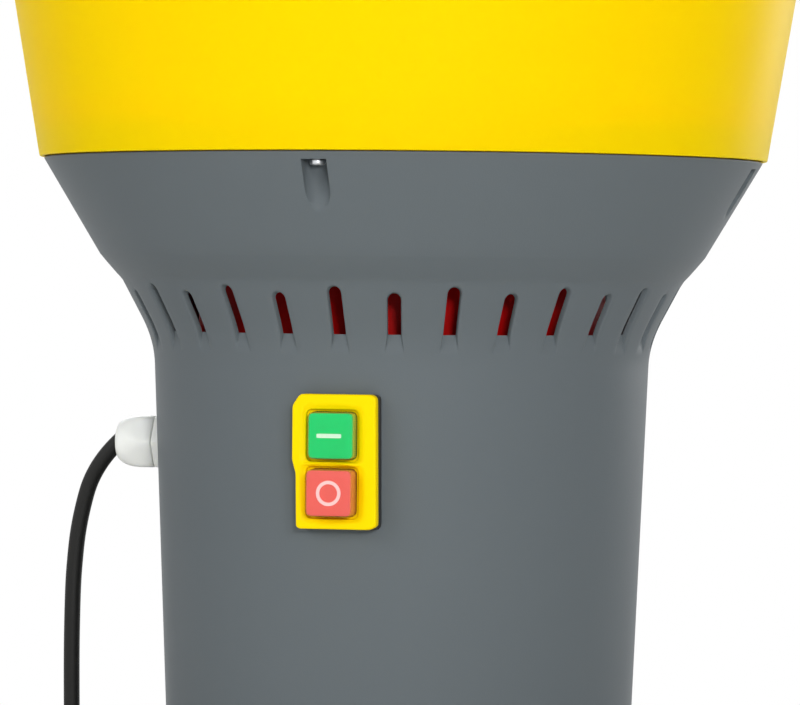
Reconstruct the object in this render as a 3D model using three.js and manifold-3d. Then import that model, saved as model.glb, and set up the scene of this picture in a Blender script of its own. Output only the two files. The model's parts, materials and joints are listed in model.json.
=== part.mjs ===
// Electric grain mill: a hopper on a vented housing that stands on a bucket. A knife rotor turns
// in a sieve ring above an upright motor. Millimetres, +Z up, the switch faces -Y.
import * as THREE from "three";
import { mergeVertices } from "three/addons/utils/BufferGeometryUtils.js";
import Module from "manifold-3d";

const wasm = await Module();
wasm.setup();

// Shared sizes
const gap = 0.3; // between faces that touch
const overrun = 4; // how far a cutter runs past what it cuts
const weldDistance = 0.0001; // corners nearer than this are one corner

// Flat sides of what is turned
const shellSides = 56;
const hollowSides = 28;
const drumSides = 28;
const turnedSides = 16;
const smallSides = 8;
const arcSteps = 3;

// Housing, outside: a slightly tapered body, a flared neck with the vents, and a cone
const housingWall = 2.8;
const baseRadius = 117.2;
const bodyTaperShare = 0.04;
const neckFootHeight = 270.6;
const neckFootBlend = 12;
const neckRise = 31.4;
const neckTaperShare = 0.529;
const shoulderHeight = neckFootHeight + neckRise;
const shoulderRise = 13;
const shoulderSpread = 11.523;
const shoulderRadiusShare = 0.35;
const shoulderRiseShare = 0.31;
const coneRise = 49.4;
const coneTaperShare = 0.596;
const shoulderTop = shoulderHeight + shoulderRise;
const housingHeight = shoulderTop + coneRise;
const coneTopRadius = neckRadius(shoulderHeight) + shoulderSpread + coneTaperShare * coneRise;
const topFlangeWidth = 17;
const topFlangeThickness = 4;

// Foot ring: the housing stands on it, and its channel sits over the rim of a bucket
const lipReach = 32.8;
const lipRadius = baseRadius + lipReach;
const lipWall = 3;
const channelDepth = 12;
const footFlangeThickness = 3;
const footTop = channelDepth + footFlangeThickness;
const gussetCount = 8;
const gussetHeight = 24;
const gussetThickness = 3;

// Ledge inside the housing that carries the milling chamber
const ledgeRise = 3.5;
const ledgeHeight = shoulderHeight + ledgeRise;
const ledgeThickness = 3;
const ledgeReach = 9.8;
const ledgeInnerRadius = baseRadius + ledgeReach;
const ledgeBoltInset = 6.5;
const ledgeBoltRadius = ledgeInnerRadius + ledgeBoltInset;
const ledgeBossRadius = 6.2;
const ledgeBossDepth = 9;

// Vents: tall and short slots in turn, drawn straight outwards from one inner radius
const ventPairs = 15;
const ventWidth = 7;
const ventFootWidth = 10;
const ventReach = 11.3;
const ventInnerRadius = baseRadius + ventReach;
const ventSillRise = 5.4;
const ventSillHeight = neckFootHeight + ventSillRise;
const ventFootDrop = 14;
const tallVentHeight = 23.7;
const shortVentHeight = 20.6;

// Screws that go up through pockets in the cone into the hopper
const screwCount = 4;
const screwInset = 10.8;
const screwCircleRadius = coneTopRadius - screwInset;
const screwHeadRadius = 3.85;
const screwHeadHeight = 2.6;
const screwShankRadius = 1.9;
const screwGrip = 12;
const screwCrownShare = 0.7;
const pocketRadius = 6.3;
const pocketWall = 2.2;
const pocketDepth = 34;

// Hopper
const hopperOverhang = 2;
const hopperRadius = coneTopRadius + hopperOverhang;
const hopperHeight = 326;
const hopperTaperShare = 0.166;
const hopperWall = 3;
const rimOverhang = 8;
const rimDrop = 10;
const funnelRise = 68;
const throatLength = 9;
const throatRadius = 62;
const hopperBossRadius = 6;

// Milling chamber: a drum, closed by a plate with the grain inlet
const plateThickness = 2.5;
const plateClearance = 1.5;
const drumInset = 12.2;
const drumRadius = baseRadius - drumInset;
const drumWall = 2;
const drumHeight = 57.8;
const drumFloorBore = 22;
const drumWindowCount = 6;
const drumWindowWidth = 9;
const drumWindowAngle = 46;
const drumWindowInset = 3.5;
const inletInnerRadius = 22;
const inletInset = 6;
const inletOuterRadius = throatRadius - inletInset;
const inletAngle = 150;
const gasketHeight = 2;
const gasketWidth = 5.5;

// Feed gate: a sheet that turns about the middle of the plate
const gateThickness = 1.5;
const gateClearance = 2.5;
const gateAngle = 166;
const gateHubRadius = 13;
const pivotRadius = 4;
const pivotHeadRadius = 8;
const pivotHeadHeight = 4;
const pivotLength = 26;
const pivotCrownShare = 0.6;
const wingHubRadius = 8;
const wingHubHeight = 9;
const wingSpan = 34;
const wingRise = 12;
const wingThickness = 3.5;
const wingHubTaperShare = 0.8;
const wingFootShare = 0.2;
const wingRootShare = 0.9;
const gateKnobDistance = 44;
const gateKnobStemRadius = 3;
const gateKnobStemHeight = 17;
const gateKnobRadius = 9;
const gateKnobHeight = 16;
const gateKnobShares = [[0.5, 0], [1, 0.35], [1, 0.65], [0.6, 1]]; // of its radius and height, going up
const gateKnobCollarShare = 0.7;

// Sieve ring
const sieveInset = 15;
const sieveRadius = drumRadius - sieveInset;
const sieveWall = 1.5;
const sieveSlotCount = 28;
const sieveSlotWidth = 4;
const sieveSlotMargin = 8;

// Motor
const motorInset = 43.2;
const motorRadius = baseRadius - motorInset;
const motorWall = 4.1;
const shieldThickness = 6;
const shieldSkirt = 17.7;
const sealPocketDepth = 6;
const sealRadius = 16;
const bearingRadius = 20;
const bearingWidth = 12;
const bearingWebThickness = 1.4;
const bearingHubWall = 4.7;
const frameLength = 126;
const finCount = 16;
const finDepth = 4;
const finThickness = 3;
const rearShieldThickness = 7.7;
const statorMargin = 21.5;
const statorLength = frameLength - 2 * statorMargin;
const statorDepth = 38;
const statorBore = motorRadius - statorDepth;
const windingLength = 13;
const windingInset = 14;
const windingRadius = motorRadius - windingInset;
const rotorAirGap = 0.8;
const rotorRingLength = 6;
const rotorRingInset = 3;
const rotorRingRadius = statorBore - rotorRingInset;
const shaftRadius = 8.2;
const shaftEndRadius = 7.2;
const shaftTopLength = 44;
const shaftTailLength = 25;
const fanInset = 14;
const fanRadius = motorRadius - fanInset;
const fanHubRadius = 14;
const fanHubHeight = 22;
const fanDiscHeight = 2.5;
const fanDiscDrop = 2.2;
const fanBladeCount = 8;
const fanBladeThickness = 2;
const fanBladeInnerRadius = 20;
const fanCoverHeight = 39.7;
const fanCoverWall = 1.6;
const fanSlotCount = 10;
const fanSlotWidth = 6;
const fanSlotInnerRadius = 24;
const fanSlotInset = 10;
const fanSlotOuterRadius = motorRadius - fanSlotInset;

// Knives
const knifeHubRadius = 17;
const knifeHubHeight = 9.7;
const knifeTipClearance = 11;
const knifeLength = 2 * (sieveRadius - knifeTipClearance);
const knifeWidth = 30;
const knifeThickness = 3;
const knifeBevel = 5;
const knifeSpacerRadius = 13;
const knifeSpacerHeight = 12;
const knifeNutFlats = 22;
const knifeNutHeight = 12;
const knifeNutFlangeRadius = 14;
const knifeNutFlangeHeight = 2;

// Bolts
const boltCount = 4;
const boltShankRadius = 3;
const boltHeadFlats = 10;
const boltHeadHeight = 4;
const plateBoltGrip = 9.5;
const motorBoltInset = 19;
const motorBoltCircleRadius = motorRadius - motorBoltInset;
const motorBoltGrip = 14;

// Capacitor beside the motor
const capacitorRadius = 17.5;
const capacitorHeight = 70;
const capacitorGap = 6;
const capacitorDistance = motorRadius + capacitorGap + capacitorRadius;
const capacitorRise = 20.3;
const capacitorShoulder = 2.6;
const capacitorCrown = 1.8;
const clampWall = 1.8;
const clampHeight = 12;
const clampRise = 28;
const clampFootWidth = 18;

// Switch, on the front of the housing
const switchDrop = 57.1;
const switchHeight = neckFootHeight - switchDrop;
const switchGasketThickness = 1.2;
const switchGasketMargin = 0.3;
const switchPlateWidth = 41.3;
const switchPlateHeight = 67;
const switchPlateThickness = 5.1;
const switchPlateCorner = 3;
const switchPlateBulge = 2.1;
const switchBulgeFoot = -4;
const switchBulgeShoulder = 2;
const switchBulgeCorner = 6.5;
const switchBodyWidth = 38;
const switchBodyHeight = 60;
const switchBodyDepth = 42;
const buttonPitch = 28;
const buttonCentreX = -2.4;
const buttonCentreZ = -1.3;
const buttonSize = 21;
const buttonCorner = 2.5;
const buttonFootSize = 24.8;
const buttonFootThickness = 6;
const buttonFootDepth = 10;
const wellWidth = 26.8;
const wellHeight = 25.8;
const wellCorner = 3;
const buttonWellSize = 25.4;
const buttonWellDepth = 16.6;
const hoodWall = 0.7;
const startHoodRise = 4;
const stopHoodRise = 7;
const hoodFootDepth = 0.9;

// Cable gland, on the -X side
const glandDrop = 53.9;
const glandHeight = neckFootHeight - glandDrop;
const glandFlats = 27;
const glandCollarThickness = 7.2;
const glandCollarSink = 1.4;
const glandThreadRadius = 9.5;
const glandThreadInner = 14;
const glandThreadOuter = 9;
const glandBorePlay = 0.75;
const glandNutLength = 21.4;
const glandNutRound = 10;
const glandMouthRadius = 6.8;
const glandMouthDepth = 5;
const locknutFlats = 30;
const locknutThickness = 5;

// Cord
const cordRadius = 4.25;
const cordSides = 8;
const coilTurns = 4.25;
const coilLoopSteps = 24;
const coilSides = 6;
const coilInnerRadius = 36.5;
const coilPitch = 9;
const coilClimbTurns = 0.5;
const tieThickness = 0.8;
const tieWidth = 9;
const tiePlay = 0.8;
const tieCorner = 4;
const motorLeadRadius = 3.2;

// Plug
const plugRearRadius = 5.6;
const plugBootRadius = 7.2;
const plugBootLength = 20;
const plugGripRadius = 14.5;
const plugGripLength = 16;
const plugGripTaperShare = 0.8;
const plugFrontRadius = 18.5;
const plugShoulderLength = 8;
const plugFrontLength = 16;
const plugPinRadius = 2.4;
const plugPinLength = 19;
const plugPinSpacing = 19;

// The cord's route down from the gland and back along the floor, x, y, z
const cordRoute = [
  [-150.6, 0, 218.2], [-154.7, 0, 214.3], [-158.8, 0, 209.8], [-162.6, 0, 204.8], [-166.2, 0, 198.8],
  [-169.0, 0, 192.4], [-172.4, 0, 180.0], [-174.8, 0, 167.4], [-176.2, 0, 154.6], [-177.1, 0, 141.9],
  [-177.7, 0, 115], [-177.8, 0.4, 90], [-177.6, 1, 65], [-177.4, 2.6, 42], [-177.3, 7.4, 24],
  [-177.3, 20, 10.2], [-177.5, 38, 5.2], [-178.2, 60, 4.7], [-178.9, 88, 4.6], [-178.9, 116, 4.7],
  [-178.0, 142, 5.0], [-177.2, 160, 5.4], [-177, 175.2, 5.65],
];

// The cord's tail from the coil to the plug
const tailRoute = [
  [-112.3, 239.6, 14.65], [-103.5, 239.6, 14.2], [-92.5, 239.1, 11.6], [-81.5, 237.9, 8.0],
  [-70.5, 236.2, 5.5], [-59.5, 234.0, 4.6], [-48.5, 231.4, 4.5], [-37.5, 228.4, 4.5],
  [-29.5, 226.1, 4.6], [-24.5, 224.6, 5.0], [-20.5, 223.4, 5.8],
];

// Leads inside the housing
const supplyRoute = [
  [-148, 0, 216.7], [-134, 0, 216.7], [-119, 0, 216.7], [-107, 0, 216.7], [-99, -4, 216.4],
  [-91, -17, 215.3], [-81, -37, 213.4], [-67, -61, 211.2], [-52, -80, 209.6], [-40, -92.5, 208.5],
  [-31, -98.8, 208.1], [-19.8, -100, 208],
];
const motorRoute = [
  [0, -100, 183.1], [0, -99.6, 172], [0, -96.6, 160], [0, -90, 150.5], [0, -82, 146.4], [0, -74.5, 145.6],
];

const finishes = {
  hopper: { color: 0xffd803, roughness: 0.35, metalness: 0 },
  housing: { color: 0x666e71, roughness: 0.5, metalness: 0 },
  red: { color: 0xb0090c, roughness: 0.45, metalness: 0.1 },
  plate: { color: 0xfce800, roughness: 0.45, metalness: 0 },
  green: { color: 0x07d069, roughness: 0.4, metalness: 0 },
  stopRed: { color: 0xf0503f, roughness: 0.4, metalness: 0 },
  clear: { color: 0xf2f4f2, roughness: 0.2, metalness: 0, transparent: true, opacity: 0.3 },
  gland: { color: 0xe3e5e0, roughness: 0.45, metalness: 0 },
  black: { color: 0x2b2b2c, roughness: 0.6, metalness: 0 },
  rubber: { color: 0x1e1e1f, roughness: 0.8, metalness: 0 },
  steel: { color: 0xa9acad, roughness: 0.35, metalness: 1 },
  zinc: { color: 0xc9ccce, roughness: 0.3, metalness: 1 },
  aluminium: { color: 0xb4b7b8, roughness: 0.5, metalness: 1 },
  laminations: { color: 0x6d6a66, roughness: 0.6, metalness: 0.8 },
  pale: { color: 0xcfd2cd, roughness: 0.5, metalness: 0 },
  brass: { color: 0xc9a24c, roughness: 0.35, metalness: 1 },
};

// Heights of the milling chamber and the motor, each worked out from the piece that carries it
const drumFlangeBottom = ledgeHeight + gap;
const drumFlangeTop = drumFlangeBottom + drumWall;
const plateBottom = drumFlangeTop + gap;
const plateTop = plateBottom + plateThickness;
const drumBottom = drumFlangeTop - drumHeight;
const drumFloorTop = drumBottom + drumWall;
const shieldTop = drumBottom - gap;
const shieldBottom = shieldTop - shieldThickness - shieldSkirt;
const sealPocketFloor = shieldTop + drumWall - sealPocketDepth;
const bearingPocketTop = sealPocketFloor - bearingWebThickness;
const frameTop = shieldBottom - gap;
const frameBottom = frameTop - frameLength;
const rearShieldTop = frameBottom - gap;
const rearShieldBottom = rearShieldTop - rearShieldThickness;
const rearBearingBottom = rearShieldBottom + shieldThickness + gap + gap;
const statorBottom = (frameTop + frameBottom - statorLength) / 2;
const shaftShoulder = drumFloorTop + drumWall;
const shaftTop = shaftShoulder + shaftTopLength;
const shaftStep = rearShieldBottom - gap;
const shaftBottom = shaftStep - shaftTailLength;
const capacitorFootHeight = frameBottom + capacitorRise;
const clampFootHeight = capacitorFootHeight + clampRise;
const hopperBottom = housingHeight + gap;
const hopperTop = hopperBottom + hopperHeight;
const throatBottom = plateTop + gap + gasketHeight + gap;
const funnelFoot = throatBottom + throatLength;
const funnelTop = funnelFoot + funnelRise;

// Turns a closed geometry into a solid that can be joined and cut
function solidOf(geometry) {
  const bare = geometry.clone();
  bare.deleteAttribute("normal");
  bare.deleteAttribute("uv");
  const merged = mergeVertices(bare, weldDistance);
  const corners = merged.index.array;
  const triangles = [];
  for (let i = 0; i < corners.length; i += 3) {
    const [a, b, c] = [corners[i], corners[i + 1], corners[i + 2]];
    if (a !== b && b !== c && c !== a) {
      triangles.push(a, b, c);
    }
  }
  const mesh = new wasm.Mesh({
    numProp: 3,
    vertProperties: merged.attributes.position.array,
    triVerts: Uint32Array.from(triangles),
  });
  return new wasm.Manifold(mesh);
}

function geometryOf(solid) {
  const mesh = solid.getMesh();
  const geometry = new THREE.BufferGeometry();
  geometry.setAttribute("position", new THREE.Float32BufferAttribute(mesh.vertProperties, 3));
  geometry.setIndex(Array.from(mesh.triVerts));
  geometry.computeVertexNormals();
  return geometry;
}

function join(first, ...others) {
  return others.reduce((sum, next) => sum.add(next), first);
}

function cut(body, ...cutters) {
  return cutters.reduce((rest, cutter) => rest.subtract(cutter), body);
}

// Turns a profile of [radius, height] points about the Z axis, outside going up, with a flat in front
function revolved(points, sides = turnedSides) {
  const profile = points.map((point) => new THREE.Vector2(point[0], point[1]));
  if (points[0][0] > 0) {
    profile.push(profile[0].clone());
  }
  return new THREE.LatheGeometry(profile, sides, Math.PI / sides).rotateX(Math.PI / 2);
}

function turned(points, sides) {
  return solidOf(revolved(points, sides));
}

// A straight round rod that stands on height, with a flat in front unless it starts at another angle
function rod(radius, length, height, sides = smallSides, start = Math.PI / sides) {
  const geometry = new THREE.CylinderGeometry(radius, radius, length, sides, 1, false, start);
  return geometry.translate(0, length / 2, 0).rotateX(Math.PI / 2).translate(0, 0, height);
}

// A hexagonal rod with a corner in front
function hexRod(acrossFlats, length, height) {
  return rod(acrossFlats / Math.sqrt(3), length, height, 6, 0);
}

// A flat outline in X and Y, raised from height by thickness
function raised(shape, thickness, height, curveSegments = arcSteps) {
  const options = { depth: thickness, bevelEnabled: false, curveSegments };
  return new THREE.ExtrudeGeometry(shape, options).translate(0, 0, height);
}

// An outline in X and Z that starts at distance in front of the axis and runs forwards by depth
function forward(shape, depth, distance, curveSegments = arcSteps) {
  return raised(shape, depth, distance, curveSegments).rotateX(Math.PI / 2);
}

// A closed outline through corner points [x, y, corner radius]
function outline(corners) {
  const shape = new THREE.Shape();
  corners.forEach(([x, y, radius], i) => {
    const corner = new THREE.Vector2(x, y);
    const [beforeX, beforeY] = corners[(i + corners.length - 1) % corners.length];
    const [afterX, afterY] = corners[(i + 1) % corners.length];
    const before = new THREE.Vector2(beforeX, beforeY).sub(corner).setLength(radius).add(corner);
    const after = new THREE.Vector2(afterX, afterY).sub(corner).setLength(radius).add(corner);
    if (i === 0) {
      shape.moveTo(before.x, before.y);
    } else {
      shape.lineTo(before.x, before.y);
    }
    if (radius > 0) {
      shape.quadraticCurveTo(corner.x, corner.y, after.x, after.y);
    }
  });
  shape.closePath();
  return shape;
}

function rectangle(width, height, corner, centreX = 0, centreY = 0) {
  const [left, right] = [centreX - width / 2, centreX + width / 2];
  const [low, high] = [centreY - height / 2, centreY + height / 2];
  return outline([[left, low, corner], [right, low, corner], [right, high, corner], [left, high, corner]]);
}

function block(width, depth, height, x, y, z) {
  return new THREE.BoxGeometry(width, depth, height).translate(x, y, z);
}

// A part of a flat ring between two radii, centred on the +Y direction
function ringSector(innerRadius, outerRadius, degrees) {
  const half = THREE.MathUtils.degToRad(degrees / 2);
  const middle = Math.PI / 2;
  const shape = new THREE.Shape();
  shape.absarc(0, 0, outerRadius, middle - half, middle + half, false);
  shape.absarc(0, 0, innerRadius, middle + half, middle - half, true);
  shape.closePath();
  return shape;
}

// Copies of a geometry spread evenly about the Z axis, as solids
function around(geometry, count, startDegrees = 0) {
  return Array.from({ length: count }, (_, i) => {
    const angle = THREE.MathUtils.degToRad(startDegrees + (360 * i) / count);
    return solidOf(geometry.clone().rotateZ(angle));
  });
}

const mill = new THREE.Group();

function addPart(name, shape, finish, parent = mill) {
  const geometry = shape.isBufferGeometry ? shape : geometryOf(shape);
  const mesh = new THREE.Mesh(geometry, new THREE.MeshStandardMaterial(finish));
  mesh.name = name;
  parent.add(mesh);
  return mesh;
}

function bodyRadius(height) {
  return baseRadius + bodyTaperShare * height;
}

function neckRadius(height) {
  return bodyRadius(neckFootHeight) + neckTaperShare * (height - neckFootHeight);
}

function coneRadius(height) {
  return coneTopRadius - coneTaperShare * (housingHeight - height);
}

function blend(from, control, to, steps) {
  const vectors = [from, control, to].map(([x, y]) => new THREE.Vector2(x, y));
  return new THREE.QuadraticBezierCurve(...vectors).getPoints(steps).map((point) => [point.x, point.y]);
}

// The housing's outside from the floor to the seam, as [radius, height] points
function housingOutside() {
  const blendLow = neckFootHeight - neckFootBlend;
  const blendHigh = neckFootHeight + neckFootBlend;
  const low = neckRadius(shoulderHeight);
  const high = coneRadius(shoulderTop);
  const corner = [
    low + (high - low) * shoulderRadiusShare,
    shoulderHeight + shoulderRise * shoulderRiseShare,
  ];
  const foot = [bodyRadius(neckFootHeight), neckFootHeight];
  return [
    [bodyRadius(0), 0],
    ...blend([bodyRadius(blendLow), blendLow], foot, [neckRadius(blendHigh), blendHigh], arcSteps),
    ...blend([low, shoulderHeight], corner, [high, shoulderTop], arcSteps - 1),
    [coneTopRadius, housingHeight],
  ];
}

// The same line moved towards the axis by a wall
function inset(line, wall) {
  return line.map((point, i) => {
    const here = new THREE.Vector2(...point);
    const towards = new THREE.Vector2(...line[Math.min(i + 1, line.length - 1)]).sub(here);
    const behind = here.clone().sub(new THREE.Vector2(...line[Math.max(i - 1, 0)]));
    const first = (behind.length() > 0 ? behind : towards).normalize();
    const second = (towards.length() > 0 ? towards : behind).normalize();
    const normal = new THREE.Vector2(-(first.y + second.y), first.x + second.x);
    normal.multiplyScalar(wall / (1 + first.dot(second)));
    return [point[0] + normal.x, point[1] + normal.y];
  });
}

// The radius of a rising line at a height
function radiusOn(line, height) {
  const next = line.findIndex((point) => point[1] > height);
  const end = next < 1 ? (next === 0 ? 1 : line.length - 1) : next;
  const [lowRadius, low] = line[end - 1];
  const [highRadius, high] = line[end];
  return lowRadius + ((highRadius - lowRadius) * (height - low)) / (high - low);
}

function pointsBetween(line, low, high) {
  return line.filter((point) => point[1] > low && point[1] < high);
}

const outside = housingOutside();
const inside = inset(outside, housingWall);
const plateRadius = radiusOn(inside, ledgeHeight) - plateClearance;
const switchSeat = bodyRadius(switchHeight + switchPlateHeight / 2) + gap + switchGasketThickness;
const switchPlateBack = switchSeat + gap;
const switchPlateFront = switchPlateBack + switchPlateThickness;
const glandSeat = bodyRadius(glandHeight);

// Everything inside the housing's outside, moved inwards by depth
function housingCore(depth) {
  const line = inset(outside, depth);
  const top = line[line.length - 1];
  return revolved([[0, line[0][1]], ...line, [0, top[1]]], shellSides);
}

// The space inside the housing's wall: wider above the ledge, with a rim at the top and the ledge left in
function housingHollow() {
  const topFlangeBottom = housingHeight - topFlangeThickness;
  const topFlangeInner = coneTopRadius - topFlangeWidth;
  const ledgeBottom = ledgeHeight - ledgeThickness;
  return turned([
    [0, 0],
    [radiusOn(inside, 0), 0],
    ...pointsBetween(inside, 0, ledgeBottom),
    [radiusOn(inside, ledgeBottom), ledgeBottom],
    [ledgeInnerRadius, ledgeBottom],
    [ledgeInnerRadius, ledgeHeight],
    [radiusOn(inside, ledgeHeight), ledgeHeight],
    ...pointsBetween(inside, ledgeHeight, topFlangeBottom),
    [radiusOn(inside, topFlangeBottom), topFlangeBottom],
    [topFlangeInner, topFlangeBottom],
    [topFlangeInner, housingHeight + overrun],
    [0, housingHeight + overrun],
  ], hollowSides);
}

function housingShell() {
  const foot = footTop + gap;
  const full = turned([
    [0, foot],
    [bodyRadius(foot), foot],
    ...pointsBetween(outside, foot, housingHeight),
    [coneTopRadius, housingHeight],
    [0, housingHeight],
  ], shellSides);
  return cut(full, housingHollow());
}

// A vent's cutter: a round top, and a foot that flares into a shallow groove below the sill
function ventCutter(height) {
  const [half, footHalf] = [ventWidth / 2, ventFootWidth / 2];
  const foot = ventSillHeight - ventFootDrop;
  const springing = ventSillHeight + height - half;
  const shape = new THREE.Shape();
  shape.moveTo(-footHalf, foot);
  shape.lineTo(footHalf, foot);
  shape.lineTo(half, ventSillHeight);
  shape.lineTo(half, springing);
  shape.absarc(0, springing, half, 0, Math.PI, false);
  shape.lineTo(-half, ventSillHeight);
  shape.closePath();
  const depth = coneRadius(ventSillHeight + height) - ventInnerRadius + overrun;
  return forward(shape, depth, ventInnerRadius, 2);
}

// Ribs that stand on the foot ring, a gap away from the housing's wall
function gussets() {
  const base = footTop - footFlangeThickness / 2;
  const top = footTop + gussetHeight;
  const shape = new THREE.Shape();
  shape.moveTo(bodyRadius(base) + gap, base);
  shape.lineTo(lipRadius - lipWall, base);
  shape.lineTo(lipRadius - lipWall, footTop + footFlangeThickness / 2);
  shape.lineTo(bodyRadius(top) + gap + gussetThickness, top);
  shape.lineTo(bodyRadius(top) + gap, top);
  shape.closePath();
  const gusset = forward(shape, gussetThickness, -gussetThickness / 2);
  return around(gusset, gussetCount, 180 / gussetCount);
}

function footRing() {
  const ring = turned([
    [radiusOn(inside, 0), 0],
    [bodyRadius(0), 0],
    [bodyRadius(channelDepth), channelDepth],
    [lipRadius - lipWall, channelDepth],
    [lipRadius - lipWall, 0],
    [lipRadius, 0],
    [lipRadius, footTop],
    [radiusOn(inside, 0), footTop],
  ], shellSides);
  return join(ring, ...gussets());
}

function housing() {
  const ceiling = housingHeight - topFlangeThickness;
  const pocketFoot = ceiling - pocketDepth;
  const middle = solidOf(housingCore(housingWall / 2));
  const pocketBoss = rod(pocketRadius + pocketWall, pocketDepth + topFlangeThickness / 2, pocketFoot);
  const pocket = rod(pocketRadius, pocketDepth + overrun, pocketFoot - overrun);
  const screwHole = rod(screwShankRadius + gap, topFlangeThickness + 2 * overrun, ceiling - overrun);
  const bossFoot = ledgeHeight - ledgeBossDepth - ledgeThickness / 2;
  const ledgeBoss = rod(ledgeBossRadius, ledgeBossDepth, bossFoot);
  const ledgeHoleFoot = ledgeHeight - plateBoltGrip + drumWall;
  const ledgeHole = rod(boltShankRadius + gap, plateBoltGrip + overrun, ledgeHoleFoot);
  const ledgeStart = 180 / boltCount;
  const onScrews = (geometry) => around(geometry.translate(0, -screwCircleRadius, 0), screwCount);
  const onLedge = (geometry) => around(geometry.translate(0, -ledgeBoltRadius, 0), boltCount, ledgeStart);
  const bosses = join(...onScrews(pocketBoss), ...onLedge(ledgeBoss)).intersect(middle);
  const vents = [
    ...around(ventCutter(tallVentHeight), ventPairs),
    ...around(ventCutter(shortVentHeight), ventPairs, 180 / ventPairs),
  ];
  const switchOpening = forward(
    rectangle(switchBodyWidth + 2 * gap, switchBodyHeight + 2 * gap, gap, 0, switchHeight),
    switchPlateFront - baseRadius + 2 * overrun, baseRadius - overrun);
  const glandOpening = rod(glandThreadRadius + gap, glandCollarThickness + 4 * overrun,
    baseRadius - overrun, turnedSides);
  glandOpening.rotateY(-Math.PI / 2).translate(0, 0, glandHeight);
  return cut(join(housingShell(), bosses), ...vents, ...onScrews(pocket),
    ...onScrews(screwHole), ...onLedge(ledgeHole), solidOf(switchOpening), solidOf(glandOpening));
}

function hopperOuterRadius(height) {
  return hopperRadius + hopperTaperShare * (height - hopperBottom);
}

function hopperInnerRadius(height) {
  return hopperOuterRadius(height) - hopperWall * Math.hypot(1, hopperTaperShare);
}

// The hopper: a wall with a rolled rim, and a funnel floor inside it that ends in a throat
function hopper() {
  const slope = funnelRise / (hopperInnerRadius(funnelTop) - throatRadius);
  const drop = hopperWall * Math.hypot(1, slope);
  const underside = (radius) => funnelFoot + slope * (radius - throatRadius) - drop;
  const skirtRadius = hopperInnerRadius(funnelTop - drop);
  const throatOuter = throatRadius + hopperWall;
  const rimUnder = hopperTop - hopperWall;
  const rimRadius = hopperOuterRadius(hopperTop) + rimOverhang;
  const bowl = [
    [hopperInnerRadius(hopperTop), hopperTop],
    [hopperInnerRadius(funnelTop), funnelTop],
    [throatRadius, funnelFoot],
    [throatRadius, throatBottom],
  ];
  const shell = turned([
    [hopperInnerRadius(hopperBottom), hopperBottom],
    [hopperRadius, hopperBottom],
    [hopperOuterRadius(rimUnder), rimUnder],
    [rimRadius - hopperWall, rimUnder],
    [rimRadius - hopperWall, hopperTop - rimDrop],
    [rimRadius, hopperTop - rimDrop],
    [rimRadius, hopperTop],
    ...bowl,
    [throatOuter, throatBottom],
    [throatOuter, underside(throatOuter)],
    [skirtRadius, underside(skirtRadius)],
  ], shellSides);
  const bossTop = underside(screwCircleRadius + hopperBossRadius);
  const boss = rod(hopperBossRadius, bossTop - hopperBottom, hopperBottom);
  const hole = rod(screwShankRadius + gap, screwGrip + overrun + gap, hopperBottom - overrun);
  const onScrews = (geometry) => around(geometry.translate(0, -screwCircleRadius, 0), screwCount);
  const hollow = turned([[0, throatBottom], ...bowl.reverse(), [0, hopperTop]], shellSides);
  return cut(join(shell, cut(join(...onScrews(boss)), hollow)), ...onScrews(hole));
}

// A pan-head screw that points up, with the top of its head on height
function panScrew() {
  const [low, rise] = [-screwHeadHeight, screwHeadHeight / 3];
  const tip = topFlangeThickness + gap + gap + screwGrip;
  return turned([
    [0, low],
    [screwHeadRadius * screwCrownShare, low],
    [screwHeadRadius, low + rise],
    [screwHeadRadius, 0],
    [screwShankRadius, 0],
    [screwShankRadius, tip],
    [0, tip],
  ], smallSides);
}

// A hexagon bolt that points down, with the underside of its head on height 0
function hexBolt(grip) {
  const head = hexRod(boltHeadFlats, boltHeadHeight, 0);
  const shank = rod(boltShankRadius, grip + boltHeadHeight / 2, -grip);
  return join(solidOf(head), solidOf(shank));
}

// Copies of a fastener on a circle about the Z axis, each a part of its own
function addOnCircle(name, solid, finish, count, radius, height, startDegrees) {
  for (let i = 0; i < count; i += 1) {
    const turn = new THREE.Group();
    turn.rotation.z = THREE.MathUtils.degToRad(startDegrees + (360 * i) / count);
    const fastener = addPart(`${name}_${i + 1}`, solid, finish, turn);
    fastener.position.set(0, -radius, height);
    mill.add(turn);
  }
}

function boltHoles(circleRadius, height) {
  const hole = rod(boltShankRadius + gap, plateThickness + 2 * overrun, height - overrun);
  return around(hole.translate(0, -circleRadius, 0), boltCount, 180 / boltCount);
}

function chamberPlate() {
  const disc = turned([
    [0, plateBottom],
    [plateRadius, plateBottom],
    [plateRadius, plateTop],
    [0, plateTop],
  ], drumSides);
  const inlet = raised(ringSector(inletInnerRadius, inletOuterRadius, inletAngle),
    plateThickness + 2 * overrun, plateBottom - overrun, 6);
  const pivotHole = rod(pivotRadius + gap, plateThickness + 2 * overrun, plateBottom - overrun);
  return cut(disc, solidOf(inlet), solidOf(pivotHole), ...boltHoles(ledgeBoltRadius, plateBottom));
}

function chamberDrum() {
  const inner = drumRadius - drumWall;
  const shell = turned([
    [drumFloorBore, drumBottom],
    [drumRadius, drumBottom],
    [drumRadius, drumFlangeBottom],
    [plateRadius, drumFlangeBottom],
    [plateRadius, drumFlangeTop],
    [inner, drumFlangeTop],
    [inner, drumFloorTop],
    [drumFloorBore, drumFloorTop],
  ], drumSides);
  const windowOuter = inner - drumWindowInset / 2;
  const sector = ringSector(windowOuter - drumWindowWidth, windowOuter, drumWindowAngle);
  const window = raised(sector, drumWall + 2 * overrun, drumBottom - overrun, 2);
  return cut(shell, ...around(window, drumWindowCount), ...boltHoles(ledgeBoltRadius, drumFlangeBottom),
    ...boltHoles(motorBoltCircleRadius, drumBottom));
}

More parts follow.
